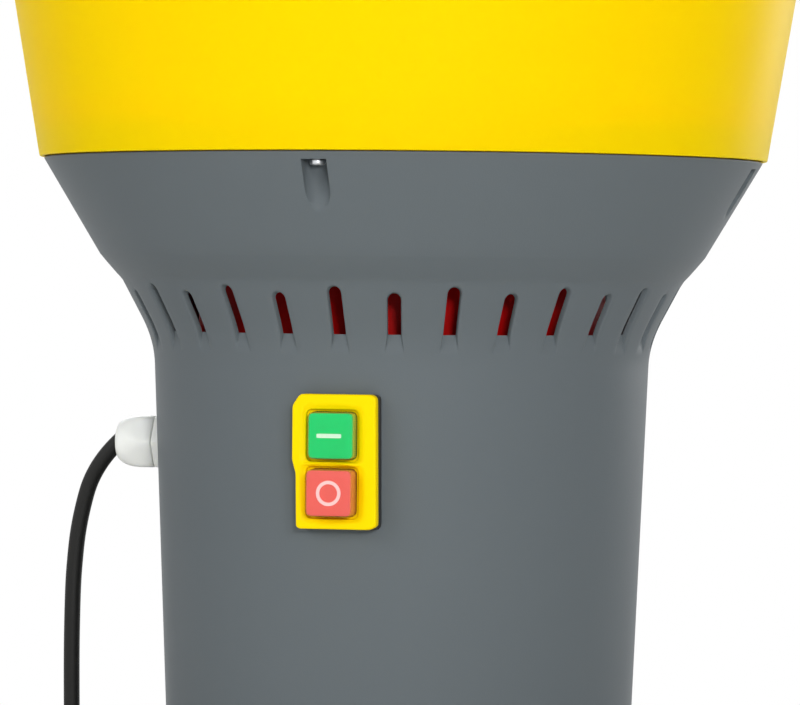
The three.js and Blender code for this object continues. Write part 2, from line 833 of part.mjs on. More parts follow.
function throatGasket() {
  const [inner, outer] = [throatRadius - gap, throatRadius - gap + gasketWidth];
  const [low, high] = [plateTop + gap, plateTop + gap + gasketHeight];
  return revolved([[inner, low], [outer, low], [outer, high], [inner, high]], drumSides);
}

// The gate lies in front of the inlet when open, and turns half round to close it
function feedGate() {
  const low = plateTop + gap;
  const halfDisc = ringSector(gateHubRadius / 2, throatRadius - gateClearance, gateAngle);
  const sector = raised(halfDisc, gateThickness, low, 6);
  const hub = rod(gateHubRadius, gateThickness, low, turnedSides);
  const pivotHole = rod(pivotRadius + gap, gateThickness + 2 * overrun, low - overrun);
  const knobHole = rod(gateKnobStemRadius + gap, gateThickness + 2 * overrun, low - overrun);
  return cut(join(solidOf(sector.rotateZ(Math.PI)), solidOf(hub)), solidOf(pivotHole),
    solidOf(knobHole.translate(0, -gateKnobDistance, 0)));
}

function gateKnob() {
  const low = plateTop + gap;
  const seat = low + gateThickness + gap;
  const knobFoot = seat + gateKnobStemHeight;
  return revolved([
    [0, low],
    [gateKnobStemRadius, low],
    [gateKnobStemRadius, seat],
    [gateKnobRadius * gateKnobCollarShare, seat],
    ...gateKnobShares.map(([out, up]) => [gateKnobRadius * out, knobFoot + gateKnobHeight * up]),
    [0, knobFoot + gateKnobHeight],
  ], smallSides);
}

function gatePivotBolt() {
  const headBottom = plateBottom - gap - pivotHeadHeight;
  return revolved([
    [0, headBottom],
    [pivotHeadRadius * pivotCrownShare, headBottom],
    [pivotHeadRadius, headBottom + pivotHeadHeight / 2],
    [pivotHeadRadius, plateBottom - gap],
    [pivotRadius, plateBottom - gap],
    [pivotRadius, plateBottom + pivotLength],
    [0, plateBottom + pivotLength],
  ], smallSides);
}

function gateWingNut() {
  const low = plateTop + gap + gateThickness + gap;
  const hub = turned([
    [0, low],
    [wingHubRadius, low],
    [wingHubRadius * wingHubTaperShare, low + wingHubHeight],
    [0, low + wingHubHeight],
  ], smallSides);
  const foot = low + wingHubHeight * wingFootShare;
  const root = low + wingHubHeight * wingRootShare;
  const top = low + wingRise;
  const wingCorner = wingThickness / 2;
  const wings = outline([
    [-wingHubRadius / 2, foot, 0], [wingHubRadius / 2, foot, 0],
    [wingSpan / 2, top - wingRise / 2, wingCorner], [wingSpan / 2, top, wingCorner],
    [wingSpan / 3, top, wingCorner], [wingHubRadius / 2, root, 0],
    [-wingHubRadius / 2, root, 0], [-wingSpan / 3, top, wingCorner],
    [-wingSpan / 2, top, wingCorner], [-wingSpan / 2, top - wingRise / 2, wingCorner],
  ]);
  const bore = rod(pivotRadius + gap, wingRise + 2 * overrun, low - overrun);
  return cut(join(hub, solidOf(forward(wings, wingThickness, -wingThickness / 2, 2))), solidOf(bore));
}

function sieveRing() {
  const [low, high] = [drumFloorTop + gap, plateBottom - gap];
  const inner = sieveRadius - sieveWall;
  const section = [[inner, low], [sieveRadius, low], [sieveRadius, high], [inner, high]];
  const ring = turned(section, sieveSlotCount);
  const height = high - low - 2 * sieveSlotMargin;
  const slot = block(sieveSlotWidth, sieveWall + 2 * overrun, height, 0, -sieveRadius,
    (low + high) / 2);
  return cut(ring, ...around(slot, sieveSlotCount));
}

function frontShield() {
  const skirtInner = motorRadius - motorWall - finDepth / 2;
  const hubRadius = bearingRadius + bearingHubWall;
  const underside = shieldTop - shieldThickness;
  const hubBottom = bearingPocketTop - bearingWidth - bearingWebThickness;
  const registerTop = shieldTop + drumWall;
  const shell = turned([
    [bearingRadius + gap, hubBottom],
    [hubRadius, hubBottom],
    [hubRadius, underside],
    [skirtInner, underside],
    [skirtInner, shieldBottom],
    [motorRadius, shieldBottom],
    [motorRadius, shieldTop],
    [drumFloorBore - gap, shieldTop],
    [drumFloorBore - gap, registerTop],
    [sealRadius + gap, registerTop],
    [sealRadius + gap, sealPocketFloor],
    [shaftRadius + 2 * gap, sealPocketFloor],
    [shaftRadius + 2 * gap, bearingPocketTop],
    [bearingRadius + gap, bearingPocketTop],
  ]);
  return cut(shell, ...boltHoles(motorBoltCircleRadius, shieldTop - shieldThickness));
}

function rearShield() {
  const hubRadius = bearingRadius + bearingHubWall;
  const hubTop = rearBearingBottom + bearingWidth + gap;
  const pocketFloor = rearBearingBottom - gap;
  return revolved([
    [shaftRadius + 2 * gap, rearShieldBottom],
    [motorRadius, rearShieldBottom],
    [motorRadius, rearShieldTop],
    [hubRadius, rearShieldTop],
    [hubRadius, hubTop],
    [bearingRadius + gap, hubTop],
    [bearingRadius + gap, pocketFloor],
    [shaftRadius + 2 * gap, pocketFloor],
  ]);
}

// The motor's frame: an extruded tube with cooling fins
function motorFrame() {
  const rootRadius = motorRadius - finDepth;
  const shape = new THREE.Shape();
  for (let i = 0; i < finCount; i += 1) {
    const angle = (2 * Math.PI * i) / finCount;
    const half = finThickness / 2;
    const finCorners = [
      [rootRadius, -half], [motorRadius, -half], [motorRadius, half], [rootRadius, half],
    ];
    for (const [radius, side] of finCorners) {
      const along = Math.sqrt(radius * radius - half * half);
      const x = along * Math.cos(angle) - side * Math.sin(angle);
      const y = along * Math.sin(angle) + side * Math.cos(angle);
      if (i === 0 && radius === rootRadius && side < 0) {
        shape.moveTo(x, y);
      } else {
        shape.lineTo(x, y);
      }
    }
  }
  shape.closePath();
  const bore = new THREE.Path();
  const firstCorner = Math.PI / turnedSides;
  bore.absarc(0, 0, rootRadius - motorWall, firstCorner, firstCorner + 2 * Math.PI, false);
  shape.holes.push(bore);
  return raised(shape, frameLength, frameBottom, turnedSides / 2);
}

// Laminations with the end windings, turned as one body
function stator() {
  const outer = motorRadius - finDepth - motorWall - gap;
  const [low, high] = [statorBottom, statorBottom + statorLength];
  return revolved([
    [statorBore, low - windingLength],
    [windingRadius, low - windingLength],
    [windingRadius, low],
    [outer, low],
    [outer, high],
    [windingRadius, high],
    [windingRadius, high + windingLength],
    [statorBore, high + windingLength],
  ]);
}

function rotorCore() {
  const bore = shaftRadius + gap;
  const [low, high] = [statorBottom, statorBottom + statorLength];
  return revolved([
    [bore, low - rotorRingLength],
    [rotorRingRadius, low - rotorRingLength],
    [rotorRingRadius, low],
    [statorBore - rotorAirGap, low],
    [statorBore - rotorAirGap, high],
    [rotorRingRadius, high],
    [rotorRingRadius, high + rotorRingLength],
    [bore, high + rotorRingLength],
  ]);
}

function motorShaft() {
  return revolved([
    [0, shaftBottom],
    [shaftEndRadius, shaftBottom],
    [shaftEndRadius, shaftStep],
    [shaftRadius, shaftStep],
    [shaftRadius, shaftShoulder],
    [shaftEndRadius, shaftShoulder],
    [shaftEndRadius, shaftTop],
    [0, shaftTop],
  ], smallSides);
}

function collar(bore, radius, length, height, sides = turnedSides) {
  const top = height + length;
  return revolved([[bore, height], [radius, height], [radius, top], [bore, top]], sides);
}

function bearing(bottom) {
  return collar(shaftRadius + gap, bearingRadius, bearingWidth, bottom);
}

// The fan: a disc on a hub, with radial blades under the disc
function motorFan() {
  const hubBottom = shaftStep - gap - fanHubHeight;
  const discTop = shaftStep - gap - fanDiscDrop;
  const discBottom = discTop - fanDiscHeight;
  const body = turned([
    [shaftEndRadius + gap, hubBottom],
    [fanHubRadius, hubBottom],
    [fanHubRadius, discBottom],
    [fanRadius, discBottom],
    [fanRadius, discTop],
    [fanHubRadius, discTop],
    [fanHubRadius, discTop + fanDiscDrop],
    [shaftEndRadius + gap, discTop + fanDiscDrop],
  ]);
  const length = fanRadius - fanBladeInnerRadius - fanBladeThickness;
  const height = discBottom - hubBottom + fanDiscHeight / 2;
  const blade = block(fanBladeThickness, length, height, 0, -(fanBladeInnerRadius + length / 2),
    hubBottom + height / 2);
  return join(body, ...around(blade, fanBladeCount));
}

function fanCover() {
  const top = rearShieldBottom - gap;
  const bottom = top - fanCoverHeight;
  const cup = turned([
    [0, bottom],
    [motorRadius, bottom],
    [motorRadius, top],
    [motorRadius - fanCoverWall, top],
    [motorRadius - fanCoverWall, bottom + fanCoverWall],
    [0, bottom + fanCoverWall],
  ], drumSides);
  const length = fanSlotOuterRadius - fanSlotInnerRadius;
  const slot = block(fanSlotWidth, length, fanCoverWall + 2 * overrun, 0,
    -(fanSlotInnerRadius + length / 2), bottom);
  return cut(cup, ...around(slot, fanSlotCount));
}

// A knife: a flat bar sharpened along both edges, lying along Y
function knife(bottom) {
  const half = knifeWidth / 2;
  const section = new THREE.Shape();
  section.moveTo(-half, bottom);
  section.lineTo(half, bottom);
  section.lineTo(half - knifeBevel, bottom + knifeThickness);
  section.lineTo(-half + knifeBevel, bottom + knifeThickness);
  section.closePath();
  const bar = forward(section, knifeLength, -knifeLength / 2);
  const bore = rod(shaftEndRadius + gap, knifeThickness + 2 * overrun, bottom - overrun);
  return cut(solidOf(bar), solidOf(bore));
}

// A hexagon nut with a round flange under it
function knifeNut(bottom) {
  const hexagon = solidOf(hexRod(knifeNutFlats, knifeNutHeight, bottom));
  const flange = solidOf(rod(knifeNutFlangeRadius, knifeNutFlangeHeight, bottom, turnedSides));
  const bore = rod(shaftEndRadius + gap, knifeNutHeight + 2 * overrun, bottom - overrun);
  return cut(join(hexagon, flange), solidOf(bore));
}

function addRotor() {
  const hubBottom = shaftShoulder + gap;
  const lowerKnife = hubBottom + knifeHubHeight + gap;
  const spacer = lowerKnife + knifeThickness + gap;
  const upperKnife = spacer + knifeSpacerHeight + gap;
  const nut = upperKnife + knifeThickness + gap;
  const bore = shaftEndRadius + gap;
  addPart("motor_shaft", motorShaft(), finishes.steel);
  addPart("motor_rotor_core", rotorCore(), finishes.laminations);
  addPart("motor_fan", motorFan(), finishes.black);
  addPart("knife_hub", collar(bore, knifeHubRadius, knifeHubHeight, hubBottom), finishes.steel);
  addPart("lower_knife", knife(lowerKnife), finishes.steel);
  addPart("knife_spacer", collar(bore, knifeSpacerRadius, knifeSpacerHeight, spacer), finishes.steel);
  addPart("upper_knife", geometryOf(knife(upperKnife)).rotateZ(Math.PI / 2), finishes.steel);
  addPart("knife_nut", knifeNut(nut), finishes.zinc);
}

function addMotor() {
  addPart("motor_front_shield", frontShield(), finishes.aluminium);
  addPart("motor_frame", motorFrame(), finishes.aluminium);
  addPart("motor_stator", stator(), finishes.laminations);
  addPart("motor_rear_shield", rearShield(), finishes.aluminium);
  addPart("front_bearing", bearing(bearingPocketTop - gap - bearingWidth), finishes.steel);
  addPart("rear_bearing", bearing(rearBearingBottom), finishes.steel);
  addPart("fan_cover", fanCover(), finishes.black);
  const seal = collar(shaftRadius + gap, sealRadius, sealPocketDepth - 2 * gap, sealPocketFloor + gap);
  addPart("shaft_seal", seal, finishes.rubber);
}

function addCapacitor() {
  const top = capacitorFootHeight + capacitorHeight;
  const can = revolved([
    [0, capacitorFootHeight], [capacitorRadius, capacitorFootHeight], [capacitorRadius, top],
    [capacitorRadius - capacitorShoulder, top + capacitorCrown], [0, top + capacitorCrown],
  ]);
  addPart("capacitor", can, finishes.pale).position.x = capacitorDistance;
  const inner = capacitorRadius + gap;
  const ring = collar(inner, inner + clampWall, clampHeight, clampFootHeight);
  ring.translate(capacitorDistance, 0, 0);
  const footEnd = capacitorDistance - inner - clampWall / 2;
  const footStart = motorRadius + gap;
  const foot = block(footEnd - footStart, clampFootWidth, clampHeight, (footStart + footEnd) / 2, 0,
    clampFootHeight + clampHeight / 2);
  const hollow = rod(inner, clampHeight + 2 * overrun, clampFootHeight - overrun, turnedSides);
  const clamp = cut(join(solidOf(ring), solidOf(foot)), solidOf(hollow.translate(capacitorDistance, 0, 0)));
  addPart("capacitor_clamp", clamp, finishes.zinc);
}

// The plate's outline, seen from the front, with the bulge on its left
function switchPlateOutline() {
  const [right, high] = [switchPlateWidth / 2, switchPlateHeight / 2];
  const left = -right - switchPlateBulge;
  const [corner, wide] = [switchPlateCorner, switchBulgeCorner];
  return outline([
    [-right, -high, corner], [right, -high, corner], [right, high, corner], [left, high, wide],
    [left, switchBulgeShoulder, corner], [-right, switchBulgeFoot, corner],
  ]);
}

function buttonHeight(row) {
  return buttonCentreZ + buttonPitch / 2 - row * buttonPitch;
}

function switchPlate() {
  const wells = [0, 1].map((row) => {
    const shape = rectangle(wellWidth, wellHeight, wellCorner, buttonCentreX, buttonHeight(row));
    return solidOf(forward(shape, switchPlateThickness + 2 * overrun, switchPlateBack - overrun));
  });
  const plate = solidOf(forward(switchPlateOutline(), switchPlateThickness, switchPlateBack));
  return cut(plate, ...wells);
}

function switchBody() {
  const back = switchSeat - switchBodyDepth;
  const wells = [0, 1].map((row) => {
    const shape = rectangle(buttonWellSize, buttonWellSize, gap, buttonCentreX, buttonHeight(row));
    return solidOf(forward(shape, buttonWellDepth + overrun, switchSeat - buttonWellDepth));
  });
  const body = solidOf(forward(rectangle(switchBodyWidth, switchBodyHeight, gap), switchBodyDepth, back));
  return cut(body, ...wells);
}

// The gasket fills the space between the flat plate and the round housing
function switchGasket() {
  const width = switchPlateWidth - 2 * switchGasketMargin;
  const height = switchPlateHeight - 2 * switchGasketMargin;
  const depth = switchSeat - baseRadius;
  const outer = forward(rectangle(width, height, switchPlateCorner), depth, baseRadius);
  const inner = forward(rectangle(switchBodyWidth + 2 * gap, switchBodyHeight + 2 * gap, gap),
    depth + 2 * overrun, baseRadius - overrun);
  const wall = housingCore(-gap).translate(0, 0, -switchHeight);
  return cut(solidOf(outer), solidOf(inner), solidOf(wall));
}

function button(row, hoodRise) {
  const front = switchPlateFront + hoodRise - hoodWall - gap;
  const back = switchPlateBack - buttonFootDepth;
  const z = buttonHeight(row);
  const capOutline = rectangle(buttonSize, buttonSize, buttonCorner, buttonCentreX, z);
  const footOutline = rectangle(buttonFootSize, buttonFootSize, gap, buttonCentreX, z);
  const cap = forward(capOutline, front - back, back, 2);
  const foot = forward(footOutline, buttonFootThickness, back);
  return join(solidOf(cap), solidOf(foot));
}

// A clear hood over a button, open at the back
function hood(row, hoodRise) {
  const back = switchPlateBack + hoodFootDepth;
  const depth = switchPlateFront + hoodRise - back;
  const inner = buttonSize + 2 * gap;
  const outer = inner + 2 * hoodWall;
  const z = buttonHeight(row);
  const outerOutline = rectangle(outer, outer, buttonCorner + hoodWall, buttonCentreX, z);
  const innerOutline = rectangle(inner, inner, buttonCorner, buttonCentreX, z);
  const shell = forward(outerOutline, depth, back, 2);
  const hollow = forward(innerOutline, depth - hoodWall + overrun, back - overrun, 2);
  return cut(solidOf(shell), solidOf(hollow));
}

function addSwitch() {
  const place = new THREE.Group();
  place.position.z = switchHeight;
  addPart("switch_plate", switchPlate(), finishes.plate, place);
  addPart("switch_body", switchBody(), finishes.black, place);
  addPart("switch_gasket", switchGasket(), finishes.rubber, place);
  addPart("start_button", button(0, startHoodRise), finishes.green, place);
  addPart("stop_button", button(1, stopHoodRise), finishes.stopRed, place);
  addPart("start_hood", hood(0, startHoodRise), finishes.clear, place);
  addPart("stop_hood", hood(1, stopHoodRise), finishes.clear, place);
  mill.add(place);
}

// The gland's pieces lie along local Z, which points out of the wall, with a corner to the front
function addGland() {
  const place = new THREE.Group();
  place.position.set(-glandSeat, 0, glandHeight);
  place.rotation.y = -Math.PI / 2;
  const toWall = new THREE.Matrix4().makeRotationY(Math.PI / 2)
    .multiply(new THREE.Matrix4().makeTranslation(glandSeat, 0, -glandHeight));
  const wall = solidOf(housingCore(-gap).applyMatrix4(toWall));
  const collarTop = gap + glandCollarThickness;
  const hexagon = (flats, length, height) => solidOf(hexRod(flats, length, height));
  const collarSolid = cut(hexagon(glandFlats, collarTop + glandCollarSink, -glandCollarSink), wall);
  const threadLength = glandThreadInner + collarTop + glandThreadOuter;
  const thread = rod(glandThreadRadius, threadLength, -glandThreadInner, turnedSides);
  const boreRadius = cordRadius + glandBorePlay;
  const bore = rod(boreRadius, threadLength + 2 * overrun, -glandThreadInner - overrun);
  addPart("gland_body", cut(join(collarSolid, solidOf(thread)), solidOf(bore)), finishes.gland, place);

  const nutBottom = collarTop + gap;
  const nutTop = nutBottom + glandNutLength;
  const corner = glandFlats / Math.sqrt(3);
  const round = blend([corner, nutTop - glandNutRound], [corner, nutTop],
    [corner - glandNutRound, nutTop], arcSteps);
  const dome = turned([[0, nutBottom], [corner, nutBottom], ...round, [0, nutTop]]);
  const threadHollow = rod(glandThreadRadius + gap, glandThreadOuter + overrun, nutBottom - overrun,
    turnedSides);
  const mouth = rod(glandMouthRadius, glandMouthDepth + overrun, nutTop - glandMouthDepth);
  const passage = rod(boreRadius, glandNutLength + 2 * overrun, nutBottom - overrun);
  const nut = hexagon(glandFlats, glandNutLength, nutBottom).intersect(dome);
  const hollowNut = cut(nut, solidOf(threadHollow), solidOf(mouth), solidOf(passage));
  addPart("gland_nut", hollowNut, finishes.gland, place);

  const locknutTop = -housingWall - gap - gap;
  const locknutBottom = locknutTop - locknutThickness;
  const locknutBore = rod(glandThreadRadius + gap, locknutThickness + 2 * overrun,
    locknutBottom - overrun, turnedSides);
  const locknut = cut(hexagon(locknutFlats, locknutThickness, locknutBottom), solidOf(locknutBore));
  const innerWall = inside.filter((point) => point[1] < neckFootHeight);
  const air = revolved([[0, 0], ...innerWall.map(([radius, height]) => [radius - gap, height]),
    [0, innerWall[innerWall.length - 1][1]]], hollowSides).applyMatrix4(toWall);
  addPart("gland_locknut", locknut.intersect(solidOf(air)), finishes.gland, place);
  mill.add(place);
  return nutTop;
}

// A smooth tube through the points of a route
function tubeOn(route, radius, sides, steps) {
  const points = route.map((point) => new THREE.Vector3(...point));
  const curve = new THREE.CatmullRomCurve3(points, false, "centripetal");
  const section = new THREE.Shape();
  section.absarc(0, 0, radius, 0, 2 * Math.PI, false);
  const options = { steps, extrudePath: curve, bevelEnabled: false, curveSegments: sides / 2 };
  return new THREE.ExtrudeGeometry(section, options);
}

// The coil's centreline: it spirals in on the lower layer, climbs, and spirals out on the upper one
function coilLine(centre, height) {
  const layer = coilPitch;
  const start = coilTurns / 2;
  const steps = Math.round(coilTurns * coilLoopSteps);
  const points = [];
  for (let i = 0; i <= steps; i += 1) {
    const turn = (i / steps) * coilTurns;
    const radius = coilInnerRadius + coilPitch * Math.abs(turn - start);
    const climb = THREE.MathUtils.smoothstep(turn, start - coilClimbTurns / 2, start + coilClimbTurns / 2);
    const angle = Math.PI - 2 * Math.PI * turn;
    const x = centre.x + radius * Math.cos(angle);
    const y = centre.y + radius * Math.sin(angle);
    points.push(new THREE.Vector3(x, y, height + layer * climb));
  }
  return points;
}

// Straight ends, one cord diameter long, along the coil's first and last direction
function withEnds(points) {
  const last = points.length - 1;
  const lead = new THREE.Vector3(0, -2 * cordRadius, 0).add(points[0]);
  const endAngle = Math.PI - 2 * Math.PI * coilTurns - Math.PI / 2;
  const away = new THREE.Vector3(Math.cos(endAngle), Math.sin(endAngle), 0).multiplyScalar(2 * cordRadius);
  return [lead, ...points, away.add(points[last])];
}

// A closed tube with a ring of corners at each point, for a line that never runs upright
function ringTube(points, radius, sides) {
  const places = [];
  const triangles = [];
  points.forEach((point, i) => {
    const ahead = points[Math.min(i + 1, points.length - 1)];
    const behind = points[Math.max(i - 1, 0)];
    const along = ahead.clone().sub(behind).normalize();
    const side = along.clone().cross(new THREE.Vector3(0, 0, 1)).normalize();
    const lift = side.clone().cross(along);
    for (let k = 0; k < sides; k += 1) {
      const angle = (2 * Math.PI * k) / sides;
      const corner = point.clone().addScaledVector(side, radius * Math.cos(angle))
        .addScaledVector(lift, radius * Math.sin(angle));
      places.push(corner.x, corner.y, corner.z);
      if (i > 0) {
        const [a, b] = [(i - 1) * sides + k, (i - 1) * sides + ((k + 1) % sides)];
        triangles.push(a, a + sides, b, b, a + sides, b + sides);
      }
    }
  });
  const end = (points.length - 1) * sides;
  for (let k = 1; k < sides - 1; k += 1) {
    triangles.push(0, k, k + 1, end, end + k + 1, end + k);
  }
  const geometry = new THREE.BufferGeometry();
  geometry.setAttribute("position", new THREE.Float32BufferAttribute(places, 3));
  geometry.setIndex(triangles);
  geometry.computeVertexNormals();
  return geometry;
}

// The least space between two loops of the coil
function leastGap(points) {
  let least = Infinity;
  for (let i = 0; i < points.length; i += 1) {
    for (let k = i + coilLoopSteps / 2; k < points.length; k += 1) {
      least = Math.min(least, points[i].distanceTo(points[k]) - 2 * cordRadius);
    }
  }
  return least;
}

function addCoil() {
  const cordEnd = new THREE.Vector3(...cordRoute[cordRoute.length - 1]);
  const height = cordRadius + tieThickness + 2 * gap;
  const outerRadius = coilInnerRadius + (coilPitch * coilTurns) / 2;
  const centre = new THREE.Vector2(cordEnd.x + outerRadius, cordEnd.y + gap + 2 * cordRadius);
  const line = coilLine(centre, height);
  console.log(`coil: least gap to itself ${leastGap(line).toFixed(2)} mm`);
  addPart("cord_coil", ringTube(withEnds(line), cordRadius, coilSides), finishes.black);

  const [near, far] = [coilInnerRadius - cordRadius - tiePlay, outerRadius + cordRadius + tiePlay];
  const [low, high] = [height - cordRadius - gap, height + coilPitch + cordRadius + gap];
  const [middle, middleHeight] = [(near + far) / 2, (low + high) / 2];
  const [width, rise] = [far - near, high - low];
  const band = rectangle(width + 2 * tieThickness, rise + 2 * tieThickness, tieCorner, middle,
    middleHeight);
  band.holes.push(rectangle(width, rise, tieCorner - tieThickness, middle, middleHeight));
  const tie = forward(band, tieWidth, -tieWidth / 2, 2).rotateZ(-Math.PI / 4);
  addPart("coil_tie", tie, finishes.rubber).position.set(centre.x, centre.y, 0);
}

function addCords(glandTop) {
  const tube = solidOf(tubeOn(cordRoute, cordRadius, cordSides, 26));
  const mouth = glandSeat + glandTop + gap;
  const inGland = block(mouth, mouth, mouth, -mouth / 2, 0, glandHeight);
  addPart("power_cord", cut(tube, solidOf(inGland)), finishes.black);
  addCoil();
  addPart("cord_tail", tubeOn(tailRoute, cordRadius, cordSides, 8), finishes.black);
  addPart("supply_lead", tubeOn(supplyRoute, cordRadius, cordSides, 18), finishes.black);
  addPart("motor_lead", tubeOn(motorRoute, motorLeadRadius, cordSides, 7), finishes.black);
}

// The plug lies on the floor on the edge of its front and on the end of its boot
function addPlug() {
  const [from, to] = tailRoute.slice(-2).map((point) => new THREE.Vector3(...point));
  const shoulder = plugBootLength + plugGripLength + plugShoulderLength;
  const front = shoulder + plugFrontLength;
  const heading = Math.atan2(to.y - from.y, to.x - from.x);
  const tilt = Math.atan2(plugFrontRadius - plugRearRadius, shoulder);
  const flat = Math.cos(tilt);
  const along = new THREE.Vector3(Math.cos(heading) * flat, Math.sin(heading) * flat, Math.sin(tilt));
  const place = new THREE.Group();
  place.position.copy(to).addScaledVector(along, 2 * gap);
  place.position.z = plugRearRadius * flat + gap;
  place.quaternion.setFromUnitVectors(new THREE.Vector3(0, 0, 1), along);
  const body = revolved([
    [0, 0],
    [plugRearRadius, 0],
    [plugBootRadius, plugBootLength],
    [plugGripRadius * plugGripTaperShare, plugBootLength + plugBootRadius / 2],
    [plugGripRadius, plugBootLength + plugGripLength],
    [plugFrontRadius, shoulder],
    [plugFrontRadius, front],
    [0, front],
  ]);
  addPart("plug_body", body, finishes.black, place);
  for (const side of [-1, 1]) {
    const pin = rod(plugPinRadius, plugPinLength, front + gap);
    const name = `plug_pin_${side < 0 ? 1 : 2}`;
    addPart(name, pin, finishes.brass, place).position.y = (side * plugPinSpacing) / 2;
  }
  mill.add(place);
}

addPart("hopper", hopper(), finishes.hopper);
addPart("housing", housing(), finishes.housing);
addPart("foot_ring", footRing(), finishes.housing);
addOnCircle("hopper_screw", panScrew(), finishes.zinc, screwCount, screwCircleRadius,
  housingHeight - topFlangeThickness - gap, 0);
addPart("chamber_plate", chamberPlate(), finishes.zinc);
addPart("chamber_drum", chamberDrum(), finishes.red);
addPart("throat_gasket", throatGasket(), finishes.rubber);
addPart("feed_gate", feedGate(), finishes.zinc);
addPart("gate_knob", gateKnob(), finishes.black).position.y = -gateKnobDistance;
addPart("gate_pivot_bolt", gatePivotBolt(), finishes.zinc);
addPart("gate_wing_nut", gateWingNut(), finishes.zinc);
addPart("sieve_ring", sieveRing(), finishes.steel);
addOnCircle("plate_bolt", hexBolt(plateBoltGrip), finishes.zinc, boltCount, ledgeBoltRadius, plateTop + gap,
  180 / boltCount);
addOnCircle("motor_bolt", hexBolt(motorBoltGrip), finishes.zinc, boltCount, motorBoltCircleRadius,
  drumFloorTop + gap, 180 / boltCount);
addRotor();
addMotor();
addCapacitor();
addSwitch();
addCords(addGland());
addPlug();

export default mill;
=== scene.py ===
import json
import math

import bmesh
import bpy
import numpy as np
from mathutils import Matrix, Vector


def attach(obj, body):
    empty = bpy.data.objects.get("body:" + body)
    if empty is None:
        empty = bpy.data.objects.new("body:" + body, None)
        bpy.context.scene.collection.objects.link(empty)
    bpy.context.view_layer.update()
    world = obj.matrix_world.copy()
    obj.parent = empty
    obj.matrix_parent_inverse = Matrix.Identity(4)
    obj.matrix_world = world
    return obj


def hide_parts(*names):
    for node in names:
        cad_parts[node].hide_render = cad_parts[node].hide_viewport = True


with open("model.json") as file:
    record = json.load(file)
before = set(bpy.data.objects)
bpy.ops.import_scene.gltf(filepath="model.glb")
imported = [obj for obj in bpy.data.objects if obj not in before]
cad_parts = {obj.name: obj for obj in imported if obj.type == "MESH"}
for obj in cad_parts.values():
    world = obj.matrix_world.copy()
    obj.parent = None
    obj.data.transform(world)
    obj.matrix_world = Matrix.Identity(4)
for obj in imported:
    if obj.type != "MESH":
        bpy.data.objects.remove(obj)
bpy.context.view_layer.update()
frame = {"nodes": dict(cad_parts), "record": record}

# Electric grain mill. Shapes are worked out in millimetres and put into the meshes in metres.
# The switch faces -Y and the cable gland points along -X.
nodes = frame["nodes"]
scene = bpy.context.scene
metre = 0.001
print("frame loaded:", len(nodes), "nodes")


# The place of a camera or lamp that looks from place to aim
def lookingAt(place, aim):
    turn = (Vector(aim) - Vector(place)).to_track_quat("-Z", "Y").to_matrix().to_4x4()
    return Matrix.Translation(place) @ turn


photoView = {  # in millimetres and degrees, with the azimuth towards +X from the front
    "azimuth": 13.6, "distance": 2300, "height": 307.6, "aimHeight": 265.0, "aimAcross": -0.9, "roll": 0.5,
    "lens": 200, "sensor": 36, "reach": 50,  # the reach in metres
}


# The camera stands at distance on the azimuth and looks at a point close to the axis, then rolls
def makeCamera(view):
    angle = math.radians(view["azimuth"])
    place = Vector((math.sin(angle) * view["distance"], -math.cos(angle) * view["distance"], view["height"]))
    aim = Vector((math.cos(angle) * view["aimAcross"], math.sin(angle) * view["aimAcross"], view["aimHeight"]))
    camera = bpy.data.objects.new("camera", bpy.data.cameras.new("camera"))
    camera.data.lens = view["lens"]
    camera.data.sensor_width = view["sensor"]
    camera.data.clip_end = view["reach"]
    roll = Matrix.Rotation(math.radians(view["roll"]), 4, "Z")
    camera.matrix_world = lookingAt(place * metre, aim * metre) @ roll
    scene.collection.objects.link(camera)
    scene.camera = camera


makeCamera(photoView)
print("camera placed")


# A grid of points [rows, columns, 3] as corners and four-sided faces; closed joins the last column to the first
def gridSheet(points, closed=False):
    points = np.asarray(points, float)
    rows, columns = points.shape[:2]
    index = np.arange(rows * columns).reshape(rows, columns)
    if closed:
        index = np.concatenate([index, index[:, :1]], axis=1)
    quads = np.stack([index[:-1, :-1], index[:-1, 1:], index[1:, 1:], index[1:, :-1]], axis=-1)
    return points.reshape(-1, 3), quads.reshape(-1, 4)


# Rings of points as one closed surface, with the first and last ring drawn in to their middles
def capped(rings):
    rings = np.asarray(rings, float)
    ends = [np.broadcast_to(ring.mean(axis=0), ring.shape)[None] for ring in (rings[0], rings[-1])]
    return gridSheet(np.concatenate([ends[0], rings, ends[1]]), closed=True)


# A ring-shaped sheet with holes: two closed grids, front and back, faces where solid is true, walls round the gaps
def slab(front, back, solid):
    index = np.arange(front.shape[0] * front.shape[1]).reshape(front.shape[:2])
    index = np.concatenate([index, index[:, :1]], axis=1)
    behind = index + front.shape[0] * front.shape[1]
    cells = [np.stack([side[:-1, :-1], side[:-1, 1:], side[1:, 1:], side[1:, :-1]], axis=-1)[solid]
             for side in (index, behind)]
    tall = np.pad(solid, ((1, 1), (0, 0)))
    rowWalls = np.stack([index[:, :-1], index[:, 1:], behind[:, 1:], behind[:, :-1]], axis=-1)[tall[1:] != tall[:-1]]
    wide = np.concatenate([solid[:, -1:], solid, solid[:, :1]], axis=1)
    columnEdges = wide[:, 1:] != wide[:, :-1]
    columnEdges[:, -1] = False
    columnWalls = np.stack([index[:-1], index[1:], behind[1:], behind[:-1]], axis=-1)[columnEdges]
    corners = np.concatenate([front.reshape(-1, 3), back.reshape(-1, 3)])
    return corners, np.concatenate(cells + [rowWalls, columnWalls])


